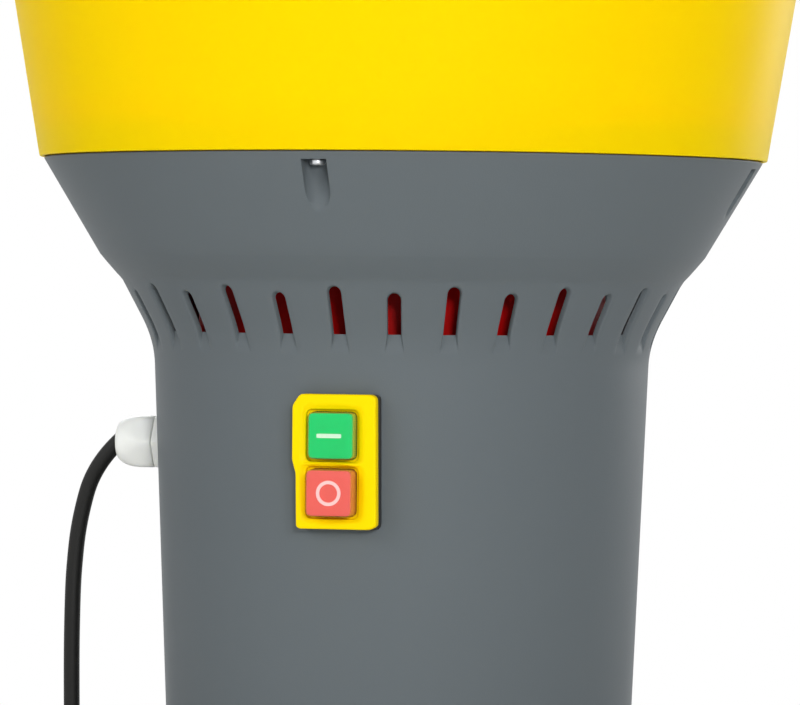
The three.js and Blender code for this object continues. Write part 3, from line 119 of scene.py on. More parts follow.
# Corners [x, y, radius] as an outline whose corners are arcs of those radii
def rounded(corners, closed=True, steps=5):
    straight = 0.02  # a turn in radians too small for an arc
    places = np.array([corner[:2] for corner in corners], float)
    parts = []
    for i, (x, y, radius) in enumerate(corners):
        here = places[i]
        if radius == 0 or (not closed and i in (0, len(corners) - 1)):
            parts.append(here[None])
            continue
        before, after = places[i - 1] - here, places[(i + 1) % len(corners)] - here
        reachBefore, reachAfter = np.hypot(*before), np.hypot(*after)
        before, after = before / reachBefore, after / reachAfter
        turn = math.pi - math.acos(float(np.clip(before @ after, -1, 1)))
        if turn < straight:
            parts.append(here[None])
            continue
        reach = min(radius * math.tan(turn / 2), 0.49 * reachBefore, 0.49 * reachAfter)
        across = (before + after) / np.linalg.norm(before + after)
        middle = here + across * reach / math.sin(turn / 2)
        start, end = here + before * reach - middle, here + after * reach - middle
        share = np.linspace(0, 1, steps + 1)[:, None]
        parts.append(middle + (np.sin((1 - share) * turn) * start + np.sin(share * turn) * end) / math.sin(turn))
    return np.concatenate(parts)


# The angles of count points that are spread evenly over a full turn
def aroundTurn(count):
    return np.arange(count) * 2 * math.pi / count


# A column of radii and a column of heights, carried round an upright line to the angles
def roundAxis(radius, height, angle, centre=(0, 0)):
    x, y = centre[0] + radius * np.cos(angle), centre[1] + radius * np.sin(angle)
    return np.stack([x, y, height + 0 * x], axis=-1)


# A profile of [radius, height] points carried round an upright line, from the front
def turned(profile, columns=96, centre=(0, 0), closed=True):
    if closed:
        profile = np.concatenate([profile, profile[:1]])
    return gridSheet(roundAxis(profile[:, :1], profile[:, 1:], aroundTurn(columns) - math.pi / 2, centre), closed=True)


# A flat outline of [x, z] points, stood up at a place along Y
def standing(flat, depth):
    return np.stack([flat[:, 0], depth + 0 * flat[:, 0], flat[:, 1]], axis=1)


# Points along a line, evenly spread over its length
def resampled(line, count):
    steps = np.linalg.norm(np.diff(line, axis=0), axis=1)
    along = np.concatenate([[0], np.cumsum(steps)])
    wanted = np.linspace(0, along[-1], count)
    return np.stack([np.interp(wanted, along, line[:, k]) for k in range(line.shape[1])], axis=1)


# Evens out a row of points: each inner one moves to the middle of its neighbours, pass after pass
def smoothRow(line, passes=12):
    for _ in range(passes):
        line = np.concatenate([line[:1], (line[:-2] + 2 * line[1:-1] + line[2:]) / 4, line[-1:]])
    return line


# A closed rectangle with rounded corners, from its lower left corner's middle anticlockwise, count points a side
def roundedRectangle(width, height, radius, count, centre=(0, 0)):
    half = np.array([width / 2 - radius, height / 2 - radius])
    turn = np.linspace(0, math.pi / 4, 7)
    sides = []
    for k, (low, high) in enumerate([((-1, -1), (1, -1)), ((1, -1), (1, 1)), ((1, 1), (-1, 1)), ((-1, 1), (-1, -1))]):
        middle = (k - 1) * math.pi / 2
        arcs = [np.array(corner) * half + radius * np.stack([np.cos(angle), np.sin(angle)], axis=1)
                for corner, angle in ((low, middle - turn[::-1]), (high, middle + turn))]
        sides.append(resampled(np.concatenate(arcs), count + 1)[:-1])
    return np.concatenate(sides) + np.array(centre)


# A share from 0 to 1 that starts and ends slowly
def eased(share):
    return share * share * (3 - 2 * share)


# Places a sheet's corners with a matrix
def moved(sheet, matrix):
    matrix = np.array(matrix)
    return sheet[0] @ matrix[:3, :3].T + matrix[:3, 3], sheet[1]


# Copies of a sheet spread evenly about the Z axis, the first one turned by start degrees
def onCircle(sheet, count, start=0):
    turns = [Matrix.Rotation(math.radians(start + 360 * k / count), 4, "Z") for k in range(count)]
    return [moved(sheet, turn) for turn in turns]


# Joins sheets where their corners meet, turns all faces outwards and puts the piece on its body. It has its slot's
# finish unless another is named.
def putPiece(name, sheets, body, slot, sharp=40, replaces=(), finish=None):
    weld = 0.003  # corners this close become one, in millimetres
    corners = np.concatenate([sheet[0] for sheet in sheets]) * metre
    starts = np.cumsum([0] + [len(sheet[0]) for sheet in sheets[:-1]])
    faces = np.concatenate([sheet[1] + start for sheet, start in zip(sheets, starts)])
    mesh = bpy.data.meshes.new(name)
    mesh.vertices.add(len(corners))
    mesh.vertices.foreach_set("co", corners.ravel())
    mesh.loops.add(faces.size)
    mesh.loops.foreach_set("vertex_index", faces.ravel().astype(np.int32))
    mesh.polygons.add(len(faces))
    mesh.polygons.foreach_set("loop_start", np.arange(len(faces), dtype=np.int32) * 4)
    mesh.update(calc_edges=True)
    work = bmesh.new()
    work.from_mesh(mesh)
    bmesh.ops.remove_doubles(work, verts=work.verts, dist=weld * metre)
    bmesh.ops.recalc_face_normals(work, faces=work.faces)
    openEdges = sum(1 for edge in work.edges if len(edge.link_faces) != 2)
    work.to_mesh(mesh)
    work.free()
    mesh.shade_smooth()
    mesh.set_sharp_from_angle(angle=math.radians(sharp))
    mesh.materials.append(finishes[finish or slot])
    piece = bpy.data.objects.new(name, mesh)
    scene.collection.objects.link(piece)
    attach(piece, body)
    if replaces:
        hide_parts(*replaces)
    print("piece", name, len(mesh.polygons), "faces", openEdges, "edges not shared by two")
    return piece


# A new shader node, with its settings and the values of its inputs
def addNode(tree, kind, values=(), **settings):
    node = tree.nodes.new("ShaderNode" + kind)
    for key, value in settings.items():
        setattr(node, key, value)
    for key, value in dict(values).items():
        node.inputs[key].default_value = value
    return node


# Links parts of a tree, each link written as "part.Output > part.Input"
def wire(tree, parts, *links):
    for link in links:
        (source, output), (target, entry) = [end.split(".") for end in link.split(" > ")]
        entry = int(entry) if entry.isdigit() else entry
        tree.links.new(parts[source].outputs[output], parts[target].inputs[entry])


# A shared effect is a group of shader nodes with named inputs and outputs
def makeEffect(name, inputs, outputs, kinds, *links):
    group = bpy.data.node_groups.new(name, "ShaderNodeTree")
    for label, value in inputs.items():
        kind = "NodeSocketVector" if isinstance(value, tuple) else "NodeSocketFloat"
        group.interface.new_socket(label, in_out="INPUT", socket_type=kind).default_value = value
    for label in outputs:
        kind = "NodeSocketVector" if label == "Normal" else "NodeSocketFloat"
        group.interface.new_socket(label, in_out="OUTPUT", socket_type=kind)
    parts = {"start": group.nodes.new("NodeGroupInput"), "end": group.nodes.new("NodeGroupOutput")}
    for label, (kind, values, settings) in kinds.items():
        parts[label] = addNode(group, kind, values, **settings)
    wire(group, parts, *links)
    return group


effects = {
    # fine moulded or cast grain: a height for bumps and a slow drift between 0 and 1
    "grain": makeEffect(
        "grain", {"Scale": 900.0, "Drift Scale": 9.0}, ("Height", "Drift"), {
            "place": ("TexCoord", {}, {}),
            "fine": ("TexNoise", {"Detail": 2.0, "Roughness": 0.6}, {}),
            "slow": ("TexNoise", {"Detail": 3.0, "Roughness": 0.5}, {}),
        },
        "place.Object > fine.Vector", "place.Object > slow.Vector", "start.Scale > fine.Scale",
        "start.Drift Scale > slow.Scale", "fine.Fac > end.Height", "slow.Fac > end.Drift"),
    # dust that settles on what faces upwards, in soft patches
    "dust": makeEffect(
        "dust", {"Amount": 0.2, "Scale": 60.0}, ("Mask",), {
            "surface": ("NewGeometry", {}, {}),
            "split": ("SeparateXYZ", {}, {}),
            "up": ("MapRange", {"From Min": 0.35, "From Max": 1.0}, {}),
            "place": ("TexCoord", {}, {}),
            "patches": ("TexNoise", {"Detail": 4.0, "Roughness": 0.65}, {}),
            "spread": ("MapRange", {"From Min": 0.35, "From Max": 0.75}, {}),
            "both": ("Math", {}, {"operation": "MULTIPLY"}),
            "amount": ("Math", {}, {"operation": "MULTIPLY"}),
        },
        "surface.Normal > split.Vector", "split.Z > up.Value", "place.Object > patches.Vector",
        "start.Scale > patches.Scale", "patches.Fac > spread.Value", "up.Result > both.0", "spread.Result > both.1",
        "both.Value > amount.0", "start.Amount > amount.1", "amount.Value > end.Mask"),
    # lines that a tool or a brush leaves: noise drawn out along one direction
    "brushed": makeEffect(
        "brushed", {"Stretch": (900.0, 30.0, 900.0)}, ("Height", "Drift"), {
            "place": ("TexCoord", {}, {}),
            "drawn": ("VectorMath", {}, {"operation": "MULTIPLY"}),
            "lines": ("TexNoise", {"Scale": 1.0, "Detail": 3.0, "Roughness": 0.7}, {}),
            "broad": ("VectorMath", {"Scale": 0.12}, {"operation": "SCALE"}),
            "streaks": ("TexNoise", {"Scale": 1.0, "Detail": 2.0}, {}),
        },
        "place.Object > drawn.0", "start.Stretch > drawn.1", "drawn.Vector > lines.Vector", "drawn.Vector > broad.0",
        "broad.Vector > streaks.Vector", "lines.Fac > end.Height", "streaks.Fac > end.Drift"),
    # edges seen through a slightly rounded normal, and a mask of where they are
    "edges": makeEffect(
        "edges", {"Width": 0.0006}, ("Normal", "Mask"), {
            "soft": ("Bevel", {}, {"samples": 4}),
            "surface": ("NewGeometry", {}, {}),
            "alike": ("VectorMath", {}, {"operation": "DOT_PRODUCT"}),
            "mask": ("MapRange", {"From Min": 0.995, "From Max": 0.9}, {}),
        },
        "start.Width > soft.Radius", "soft.Normal > end.Normal", "soft.Normal > alike.0", "surface.Normal > alike.1",
        "alike.Value > mask.Value", "mask.Result > end.Mask"),
}
print("effect groups made")


# A screen colour from 0 to 255 as linear light
def linear(red, green, blue):
    values = np.array([red, green, blue]) / 255
    values = np.where(values <= 0.04045, values / 12.92, ((values + 0.055) / 1.055) ** 2.4)
    return tuple(float(value) for value in values) + (1.0,)


# A mix of two colours, each a colour or a node's output, by a factor between 0 and 1
def mixColours(tree, factor, first, second):
    mix = addNode(tree, "Mix", data_type="RGBA")
    tree.links.new(factor, mix.inputs[0])
    for socket, value in ((mix.inputs[6], first), (mix.inputs[7], second)):
        if isinstance(value, tuple):
            socket.default_value = value
        else:
            tree.links.new(value, socket)
    return mix.outputs[2]


# One use of a shared effect; a _ in a key stands for a space
def placeEffect(tree, name, **values):
    values = {key.replace("_", " "): value for key, value in values.items()}
    node = tree.nodes.new("ShaderNodeGroup")
    node.node_tree = effects[name]
    for key, value in values.items():
        node.inputs[key].default_value = value
    return node


# A material, its tree and its Principled node with the values of its inputs
def newMaterial(name, values):
    material = bpy.data.materials.new(name)
    material.use_nodes = True
    surface = material.node_tree.nodes["Principled BSDF"]
    for key, value in values.items():
        surface.inputs[key].default_value = value
    return material, material.node_tree, surface


# Roughness that follows a drift: from low to high while the drift goes from starts to 1 - starts
def driftingRoughness(tree, surface, drift, low, high, starts):
    rough = addNode(tree, "MapRange", {"From Min": starts, "From Max": 1 - starts, "To Min": low, "To Max": high})
    tree.links.new(drift, rough.inputs["Value"])
    tree.links.new(rough.outputs["Result"], surface.inputs["Roughness"])


# A finish with a colour that drifts between two shades, grain or brushed lines, dust, and softened edges, whose lighter
# edge shade is painted highlight with a little wear
def makeFinish(name, shade, drift, roughness, spread, metallic=0.0, grain=900.0, driftScale=9.0, depth=0.00006,
               brushed=None, dust=0.0, dustColour=(205, 196, 172), edges=0.0, edgeHighlightAndWear=None, specular=0.5,
               subsurface=0.0, glowDepth=0.004):
    material, tree, surface = newMaterial(name, {
        "Metallic": metallic, "Specular IOR Level": specular, "Subsurface Weight": subsurface,
        "Subsurface Radius": (1.0, 1.0, 0.4), "Subsurface Scale": glowDepth})
    if brushed:
        pattern = placeEffect(tree, "brushed", Stretch=brushed)
    else:
        pattern = placeEffect(tree, "grain", Scale=grain, Drift_Scale=driftScale)
    wander = pattern.outputs["Drift"]
    colour = mixColours(tree, wander, linear(*shade), linear(*drift))
    driftingRoughness(tree, surface, wander, roughness - spread, roughness + spread, 0.25)
    bump = addNode(tree, "Bump", {"Strength": 1.0, "Distance": depth})
    tree.links.new(pattern.outputs["Height"], bump.inputs["Height"])
    if edges:
        highlitAndWorn = placeEffect(tree, "edges", Width=edges)
        tree.links.new(highlitAndWorn.outputs["Normal"], bump.inputs["Normal"])
        # a lighter colour on the edges is painted highlight, with a little wear
        if edgeHighlightAndWear:
            colour = mixColours(tree, highlitAndWorn.outputs["Mask"], colour, linear(*edgeHighlightAndWear))
    if dust:
        settled = placeEffect(tree, "dust", Amount=dust)
        colour = mixColours(tree, settled.outputs["Mask"], colour, linear(*dustColour))
    tree.links.new(colour, surface.inputs["Base Color"])
    tree.links.new(bump.outputs["Normal"], surface.inputs["Normal"])
    return material


# Clear soft moulding: mostly see-through, denser where it is seen at a slant, where its tint shows as painted
# reflection, with a little grain in its gloss
def makeClear(name, shade, roughness, density):
    material, tree, surface = newMaterial(name, {"Base Color": linear(*shade), "Specular IOR Level": 0.1})
    parts = {"surface": surface, "slant": addNode(tree, "LayerWeight", {"Blend": 0.35}), "dense": addNode(
        tree, "MapRange", {"From Min": 0.12, "To Min": density[0], "To Max": density[1]})}
    wire(tree, parts, "slant.Facing > dense.Value", "dense.Result > surface.Alpha")
    pattern = placeEffect(tree, "grain", Scale=700.0, Drift_Scale=90.0)
    driftingRoughness(tree, surface, pattern.outputs["Drift"], roughness * 0.7, roughness * 1.3, 0.3)
    return material


finishes = {
    "hopper": makeFinish("yellow hopper", (255, 209, 0), (255, 205, 0), 0.42, 0.03, grain=500, depth=0.00002,
                         driftScale=4, specular=0.02, subsurface=0.55, glowDepth=0.008),
    "housing": makeFinish("grey housing", (100, 107, 111), (96, 103, 107), 0.44, 0.04, grain=1500, depth=0.00005,
                          driftScale=5, specular=0.05),
    "drum": makeFinish("red enamel", (212, 6, 6), (204, 4, 5), 0.4, 0.05, grain=300, driftScale=20, specular=0.1),
    "plate": makeFinish("yellow switch plate", (254, 222, 0), (252, 218, 0), 0.42, 0.04, grain=1800, depth=0.00003,
                        driftScale=40, specular=0.05),
    "start": makeFinish("green button", (0, 204, 114), (0, 200, 110), 0.45, 0.04, grain=1500, depth=0.00002,
                        driftScale=60, specular=0.2),
    "stop": makeFinish("red button", (230, 98, 94), (226, 94, 90), 0.45, 0.04, grain=1500, depth=0.00002,
                       driftScale=60, specular=0.3),
    "startMark": makeFinish("pale green mark", (214, 243, 221), (208, 238, 216), 0.5, 0.04, depth=0.00001,
                            driftScale=80),
    "stopMark": makeFinish("pale pink mark", (250, 208, 210), (246, 202, 204), 0.5, 0.04, depth=0.00001,
                           driftScale=80),
    # the hood's olive-yellow tint, seen mostly on its slanted sides, is painted reflection of the yellow plate
    "hoods": makeClear("clear hood with painted yellow reflection", (238, 196, 60), 0.12, (0.01, 0.6)),
    "gland": makeFinish("white nylon", (250, 252, 249), (247, 249, 245), 0.45, 0.05, depth=0.00004, driftScale=50,
                        subsurface=0.05),
    "cord": makeFinish("black cord", (25, 25, 24), (30, 30, 29), 0.52, 0.06, grain=1400, depth=0.00004,
                       driftScale=40, specular=0.22),
    "rubber": makeFinish("black rubber", (30, 30, 31), (36, 36, 36), 0.72, 0.05, grain=1100, depth=0.00008,
                         driftScale=50, dust=0.2),
    # the lighter edge shades of these finishes are painted highlight, with a little wear
    "black_plastic": makeFinish("black moulding", (34, 34, 35), (40, 40, 40), 0.48, 0.06, grain=1300,
                                depth=0.00005, driftScale=40, edges=0.0007, edgeHighlightAndWear=(60, 60, 61), dust=0.12),
    "fan_cover": makeFinish("black painted sheet", (38, 38, 41), (32, 32, 34), 0.42, 0.08, grain=700,
                            driftScale=30, edges=0.0006, edgeHighlightAndWear=(92, 92, 94)),
    "sheet": makeFinish("zinc plated sheet", (190, 193, 198), (182, 185, 191), 0.36, 0.03, 1.0,
                        brushed=(60.0, 1400.0, 1400.0), depth=0.000006, dust=0.25, dustColour=(222, 206, 170)),
    "zinc": makeFinish("bright zinc", (232, 234, 237), (212, 215, 220), 0.36, 0.08, 0.9, grain=500, depth=0.00003,
                       driftScale=120, edges=0.0004),
    "steel": makeFinish("machined steel", (182, 184, 187), (150, 152, 156), 0.32, 0.08, 1.0,
                        brushed=(120.0, 120.0, 2600.0), depth=0.00003, edges=0.0004),
    "laminations": makeFinish("stacked laminations", (112, 108, 102), (84, 80, 76), 0.5, 0.1, 0.8,
                              brushed=(20.0, 20.0, 2400.0), depth=0.0002, edges=0.0004),
    "aluminium": makeFinish("cast aluminium", (182, 184, 186), (158, 161, 164), 0.5, 0.08, 1.0, grain=420,
                            depth=0.00025, driftScale=30, edges=0.0009, edgeHighlightAndWear=(214, 215, 217)),
    "capacitor": makeFinish("grey can", (208, 210, 206), (200, 203, 198), 0.42, 0.06, depth=0.00004,
                            driftScale=40, edges=0.0006),
    "pins": makeFinish("brass pins", (214, 176, 96), (196, 156, 80), 0.26, 0.06, 1.0, brushed=(900.0, 900.0, 60.0),
                       depth=0.00002, edges=0.0003),
}

for part in frame["record"]["subparts"]:
    nodes[part["node"]].data.materials.clear()
    nodes[part["node"]].data.materials.append(finishes[part["material_slot"]])
print("finishes made:", len(finishes))


# A pale floor under the object that fades to white away from it, white surroundings, and soft lamps
stageLook = {
    "floorShade": (232, 232, 230), "floorSize": 6.0, "fade": (0.35, 0.8),  # metres from the axis
    "ambient": 0.38,
    "lamps": {  # place and aim in metres, size in metres, strength in watts
        "front": ((0.64, -1.77, 0.62), (0, 0, 0.27), 0.25, 10.5),
        "key": ((1.02, -1.54, 0.80), (0, 0, 0.27), 0.5, 6.5),
        "left": ((-1.45, -1.75, 1.25), (0, 0, 0.32), 1.2, 14.0),
        "top": ((0.15, -0.25, 2.2), (0, 0, 0.4), 0.9, 7.0),
        "rim": ((0.95, 1.65, 0.55), (0, 0, 0.28), 0.7, 8.0),
        "back": ((-0.9, 1.9, 1.4), (0, 0, 0.32), 1.3, 18.0),
    },
}


# White where the camera, a reflection or a clear piece looks straight at it
def seenDirectly(tree):
    path = addNode(tree, "LightPath")
    seen = path.outputs["Is Camera Ray"]
    for ray in ("Is Glossy Ray", "Is Transmission Ray"):
        either = addNode(tree, "Math", operation="MAXIMUM")
        tree.links.new(seen, either.inputs[0])
        tree.links.new(path.outputs[ray], either.inputs[1])
        seen = either.outputs["Value"]
    return seen


# White surroundings: full strength where they are seen directly, and the ambient strength as light
def makeWorld(look):
    scene.world = bpy.data.worlds.new("surroundings")
    scene.world.use_nodes = True
    tree = scene.world.node_tree
    parts = {"back": tree.nodes["Background"],
             "strength": addNode(tree, "MapRange", {"To Min": look["ambient"], "To Max": 1.0})}
    parts["back"].inputs["Color"].default_value = (1.0, 1.0, 1.0, 1.0)
    tree.links.new(seenDirectly(tree), parts["strength"].inputs["Value"])
    wire(tree, parts, "strength.Result > back.Strength")


# The floor mixes its shade with plain white: by the distance from the axis, and only where it is seen directly
def makeFloor(look):
    half = look["floorSize"] / 2
    mesh = bpy.data.meshes.new("floor")
    mesh.from_pydata([(-half, -half, 0), (half, -half, 0), (half, half, 0), (-half, half, 0)], [], [(0, 1, 2, 3)])
    floor = bpy.data.objects.new("floor", mesh)
    scene.collection.objects.link(floor)
    material, tree, surface = newMaterial("pale floor", {
        "Base Color": linear(*look["floorShade"]), "Roughness": 0.9, "Specular IOR Level": 0.1})
    low, high = look["fade"]
    parts = {
        "surface": surface,
        "place": addNode(tree, "TexCoord"),
        "away": addNode(tree, "VectorMath", operation="LENGTH"),
        "fade": addNode(tree, "MapRange", {"From Min": low, "From Max": high}, interpolation_type="SMOOTHSTEP"),
        "both": addNode(tree, "Math", operation="MULTIPLY"),
        "white": addNode(tree, "Emission", {"Strength": 1.0}),
        "mix": addNode(tree, "MixShader"),
        "output": tree.nodes["Material Output"],
    }
    wire(tree, parts, "place.Object > away.0", "away.Value > fade.Value", "fade.Result > both.0",
         "both.Value > mix.0", "surface.BSDF > mix.1", "white.Emission > mix.2", "mix.Shader > output.Surface")
    tree.links.new(seenDirectly(tree), parts["both"].inputs[1])
    mesh.materials.append(material)


# Round soft lamps, each aimed at its point
def makeLamps(look):
    for name, (place, aim, size, strength) in look["lamps"].items():
        lamp = bpy.data.lights.new(name, "AREA")
        lamp.shape = "DISK"
        lamp.size = size
        lamp.energy = strength
        holder = bpy.data.objects.new(name, lamp)
        holder.matrix_world = lookingAt(place, aim)
        scene.collection.objects.link(holder)


makeWorld(stageLook)
makeFloor(stageLook)
makeLamps(stageLook)
scene.view_settings.view_transform = "Standard"
print("floor, surroundings and lamps made")


# The cord goes down from the gland and back along the floor to a round coil, and a tail leads to the plug
cordShape = {
    "radius": 4.25, "sides": 18, "spacing": 2.8,
    "coilTurns": 4.25, "coilSteps": 24, "coilCentre": (-121.375, 184.0), "coilInnerRadius": 36.5, "coilPitch": 9.0,
    "coilClimb": 0.5, "coilHeight": 5.65,  # the climb in turns
    "leanStart": 300, "leanOver": 80,
    "route": [
        (-150.6, 0, 218.2), (-154.7, 0, 214.3), (-158.8, 0, 209.8), (-162.6, 0, 204.8), (-166.2, 0, 198.8),
        (-169.0, 0, 192.4), (-172.4, 0, 180.0), (-174.8, 0, 167.4), (-176.2, 0, 154.6), (-177.1, 0, 141.9),
        (-177.7, 0, 115.0), (-177.8, 0.4, 90.0), (-177.6, 1, 65.0), (-177.4, 2.6, 42.0), (-177.3, 7.4, 24.0),
        (-177.3, 20, 10.2), (-177.5, 38, 5.2), (-178.2, 60, 4.7), (-178.9, 88, 4.6), (-178.9, 116, 4.7),
        (-178.0, 142, 5.0), (-177.2, 160, 5.4), (-177.0, 175.2, 5.65)],
    "tail": [
        (-112.3, 239.6, 14.65), (-103.5, 239.6, 14.2), (-92.5, 239.1, 11.6), (-81.5, 237.9, 8.0),
        (-70.5, 236.2, 5.5), (-59.5, 234.0, 4.6), (-48.5, 231.4, 4.5), (-37.5, 228.4, 4.5), (-29.5, 226.1, 4.6),
        (-24.5, 224.6, 5.0), (-20.5, 223.4, 5.8)],
}


# The coil's middle line: the radius shrinks to the middle turn and grows again, while the height climbs one layer
def coilLine(sizes):
    turn = np.linspace(0, sizes["coilTurns"], round(sizes["coilTurns"] * sizes["coilSteps"]) + 1)
    half = sizes["coilTurns"] / 2
    radius = sizes["coilInnerRadius"] + sizes["coilPitch"] * np.abs(turn - half)
    climb = eased(np.clip((turn - half) / sizes["coilClimb"] + 0.5, 0, 1))
    height = sizes["coilHeight"] + sizes["coilPitch"] * climb
    return roundAxis(radius, height, math.pi - 2 * math.pi * turn, sizes["coilCentre"])


# A centripetal Catmull-Rom curve through the points, then points evenly spaced along it
def smoothLine(points, spacing, steps=12):
    points = np.concatenate([2 * points[:1] - points[1:2], points, 2 * points[-1:] - points[-2:-1]])
    a, b, c, d = points[:-3, None], points[1:-2, None], points[2:-1, None], points[3:, None]
    knots = [np.zeros(a.shape[:1] + (1, 1))]
    for first, second in ((a, b), (b, c), (c, d)):
        knots.append(knots[-1] + np.sqrt(np.linalg.norm(second - first, axis=-1, keepdims=True)))
    t = knots[1] + (knots[2] - knots[1]) * np.linspace(0, 1, steps, endpoint=False)[None, :, None]

    def between(low, high, start, end):
        return (start * (knots[high] - t) + end * (t - knots[low])) / (knots[high] - knots[low])

    ab, bc, cd = between(0, 1, a, b), between(1, 2, b, c), between(2, 3, c, d)
    line = between(1, 2, between(0, 2, ab, bc), between(1, 3, bc, cd)).reshape(-1, 3)
    line = np.concatenate([line, points[-2:-1]])
    length = np.linalg.norm(np.diff(line, axis=0), axis=1).sum()
    return resampled(line, round(length / spacing) + 1)


# A ring of points round each point of a line; the ring's first direction leans from X to Z where lean goes from 0 to 1
def tube(line, radius, sides, lean):
    along = np.gradient(line, axis=0)
    side = np.cross(along, np.stack([1 - lean, 0 * lean, lean], axis=1))
    along, side = (way / np.linalg.norm(way, axis=1, keepdims=True) for way in (along, side))
    lift = np.cross(side, along)
    angle = aroundTurn(sides)[:, None]
    return capped(line[:, None] + (side[:, None] * np.cos(angle) + lift[:, None] * np.sin(angle)) * radius)


# The cord with its middle line and its length, in metres
def makeCord(sizes):
    line = smoothLine(np.concatenate([sizes["route"], coilLine(sizes), sizes["tail"]]), sizes["spacing"])
    lean = np.clip((np.arange(len(line)) * sizes["spacing"] - sizes["leanStart"]) / sizes["leanOver"], 0, 1)
    cord = putPiece("mains_cord", [tube(line, sizes["radius"], sizes["sides"], lean)], "mill_body", "cord", 60,
                    ("power_cord", "cord_coil", "cord_tail"))
    length = float(np.linalg.norm(np.diff(line, axis=0), axis=1).sum()) * metre
    print("cord length", round(length, 4))
    return cord, np.round(line * metre, 7), length


mainsCord, cordLine, cordLength = makeCord(cordShape)


# The housing is one moulding: 30 vents with a groove under each, pockets for the screws, a foot for the bucket
housingShape = {
    "foot": 117.2, "taper": 0.04, "neckFoot": 270.6, "neckBlend": 12, "neckTaper": 0.529,
    "shoulder": 302, "shoulderRise": 13, "shoulderControl": (4.033, 4.03),
    "top": 364.4, "coneTop": 185.6, "coneTaper": 0.596, "wall": 2.9, "flangeInner": 168.6, "topEdge": 1.0,
    "ledgeTop": 305.5, "ledgeThickness": 3.0, "ledgeInner": 127.0,
    "lip": 150.0, "lipWall": 3.0, "channelTop": 12.0, "footTop": 15.0, "wallFoot": 18.0, "bandRows": 10,
}
ventShape = {
    "count": 30, "half": 3.5, "footHalf": 5.0, "sill": 276.0, "grooveFoot": 262.0, "plane": 128.5,
    "tall": 23.7, "short": 20.6, "round": 0.6, "draft": 0.3, "sideSteps": 8, "columns": 18,
    "neckRows": (257.0, 258.5, 1.25), "bandTop": 303.0, "innerBandTop": 302.5, "coneRows": (315.0, 321.0),
}
pocketShape = {
    "circle": 174.8, "radius": 6.3, "wall": 2.2, "ceiling": 360.4, "low": 328.0, "high": 362.4, "innerLow": 310.0,
    "places": ((0, 1), (7.5, 2), (15, 1), (22.5, 2)),  # the middle cell and how many cells a pocket takes
}
switchOpening = {"half": (19.3, 30.3), "height": 213.5, "low": 175.0, "high": 252.0, "cell": 0, "cells": 3}
glandOpening = {"radius": 9.8, "height": 216.7, "cell": 22.5, "cells": 2}
ribShape = {"count": 8, "first": 22.5, "foot": 14.0, "clear": 16.5, "top": 39.0, "out": 3.3, "sunk": 1.2,
            "thickness": 3.0, "edge": 0.6}
ledgeBossShape = {"radius": 6.2, "low": 294.0, "high": 304.0, "circle": 133.5, "edge": 0.8, "first": 45}
everyCell = range(ventShape["count"])
cellPitch = 2 * math.pi / ventShape["count"]


# A quadratic curve from a to c, drawn towards b
def bent(a, b, c, share):
    return (1 - share) ** 2 * a + 2 * share * (1 - share) * b + share ** 2 * c


# The housing's outer radius at a height: taper, blend, flared neck, shoulder, cone
def housingRadius(height):
    s = housingShape
    z = np.asarray(height, float)
    neckFoot, blend, shoulder, rise = s["neckFoot"], s["neckBlend"], s["shoulder"], s["shoulderRise"]
    start = s["foot"] + s["taper"] * neckFoot
    share = (z - neckFoot + blend) / (2 * blend)
    blended = bent(start - s["taper"] * blend, start, start + s["neckTaper"] * blend, share)
    neck = start + s["neckTaper"] * (z - neckFoot)
    cone = s["coneTop"] - s["coneTaper"] * (s["top"] - z)
    out, up = s["shoulderControl"]
    a, b = rise - 2 * up, 2 * up
    step = (np.sqrt(b * b + 4 * a * np.maximum(z - shoulder, 0)) - b) / (2 * a)
    neckEnd = start + s["neckTaper"] * (shoulder - neckFoot)
    coneStart = s["coneTop"] - s["coneTaper"] * (s["top"] - shoulder - rise)
    bands = [z < neckFoot - blend, z < neckFoot + blend, z < shoulder, z < shoulder + rise]
    return np.select(bands, [s["foot"] + s["taper"] * z, blended, neck, bent(neckEnd, neckEnd + out, coneStart, step)],
                     cone)


# The inner radius lies a wall's thickness inside, measured square to the slope
def hollowRadius(height):
    slope = housingRadius(np.asarray(height) + 0.5) - housingRadius(np.asarray(height) - 0.5)
    return housingRadius(height) - housingShape["wall"] * np.sqrt(1 + slope ** 2)


# From distances in a cell's own directions, across and outwards, to x, y, z
def inCell(across, out, height, cell):
    angle = cell * cellPitch
    return np.stack([across * math.cos(angle) + out * math.sin(angle),
                     across * math.sin(angle) - out * math.cos(angle), height + 0 * across], axis=-1)


# The same from a radius and an angle to the cell's middle, set back by depth
def atAngle(radius, angle, height, cell, depth=0):
    return inCell(radius * np.sin(angle), radius * np.cos(angle) - depth, height, cell)


# The angles of a cell's 19 columns from its middle: three up to the opening's edge, three round it, and seven across
def columnAngles(radius, half):
    radius = np.atleast_1d(np.asarray(radius, float))[:, None]
    half = np.broadcast_to(half, radius[:, 0].shape)[:, None]
    start = np.arcsin((half + ventShape["round"]) / radius)
    side = cellPitch / 2 + (start - cellPitch / 2) * np.array([0, 1 / 3, 2 / 3])
    middle = np.arcsin((half - ventShape["draft"]) / radius) * np.array([1, 2 / 3, 1 / 3, 0])
    right = np.concatenate([side, start, np.arcsin((half + 0.3 * ventShape["round"]) / radius),
                            np.arcsin(half / radius), middle], axis=1)
    return np.concatenate([-right, right[:, -2::-1]], axis=1)


# The groove's half width runs from its foot to the vent's sill
def grooveHalf(height):
    v = ventShape
    return np.interp(height, [v["grooveFoot"], v["sill"]], [v["footHalf"], v["half"]])


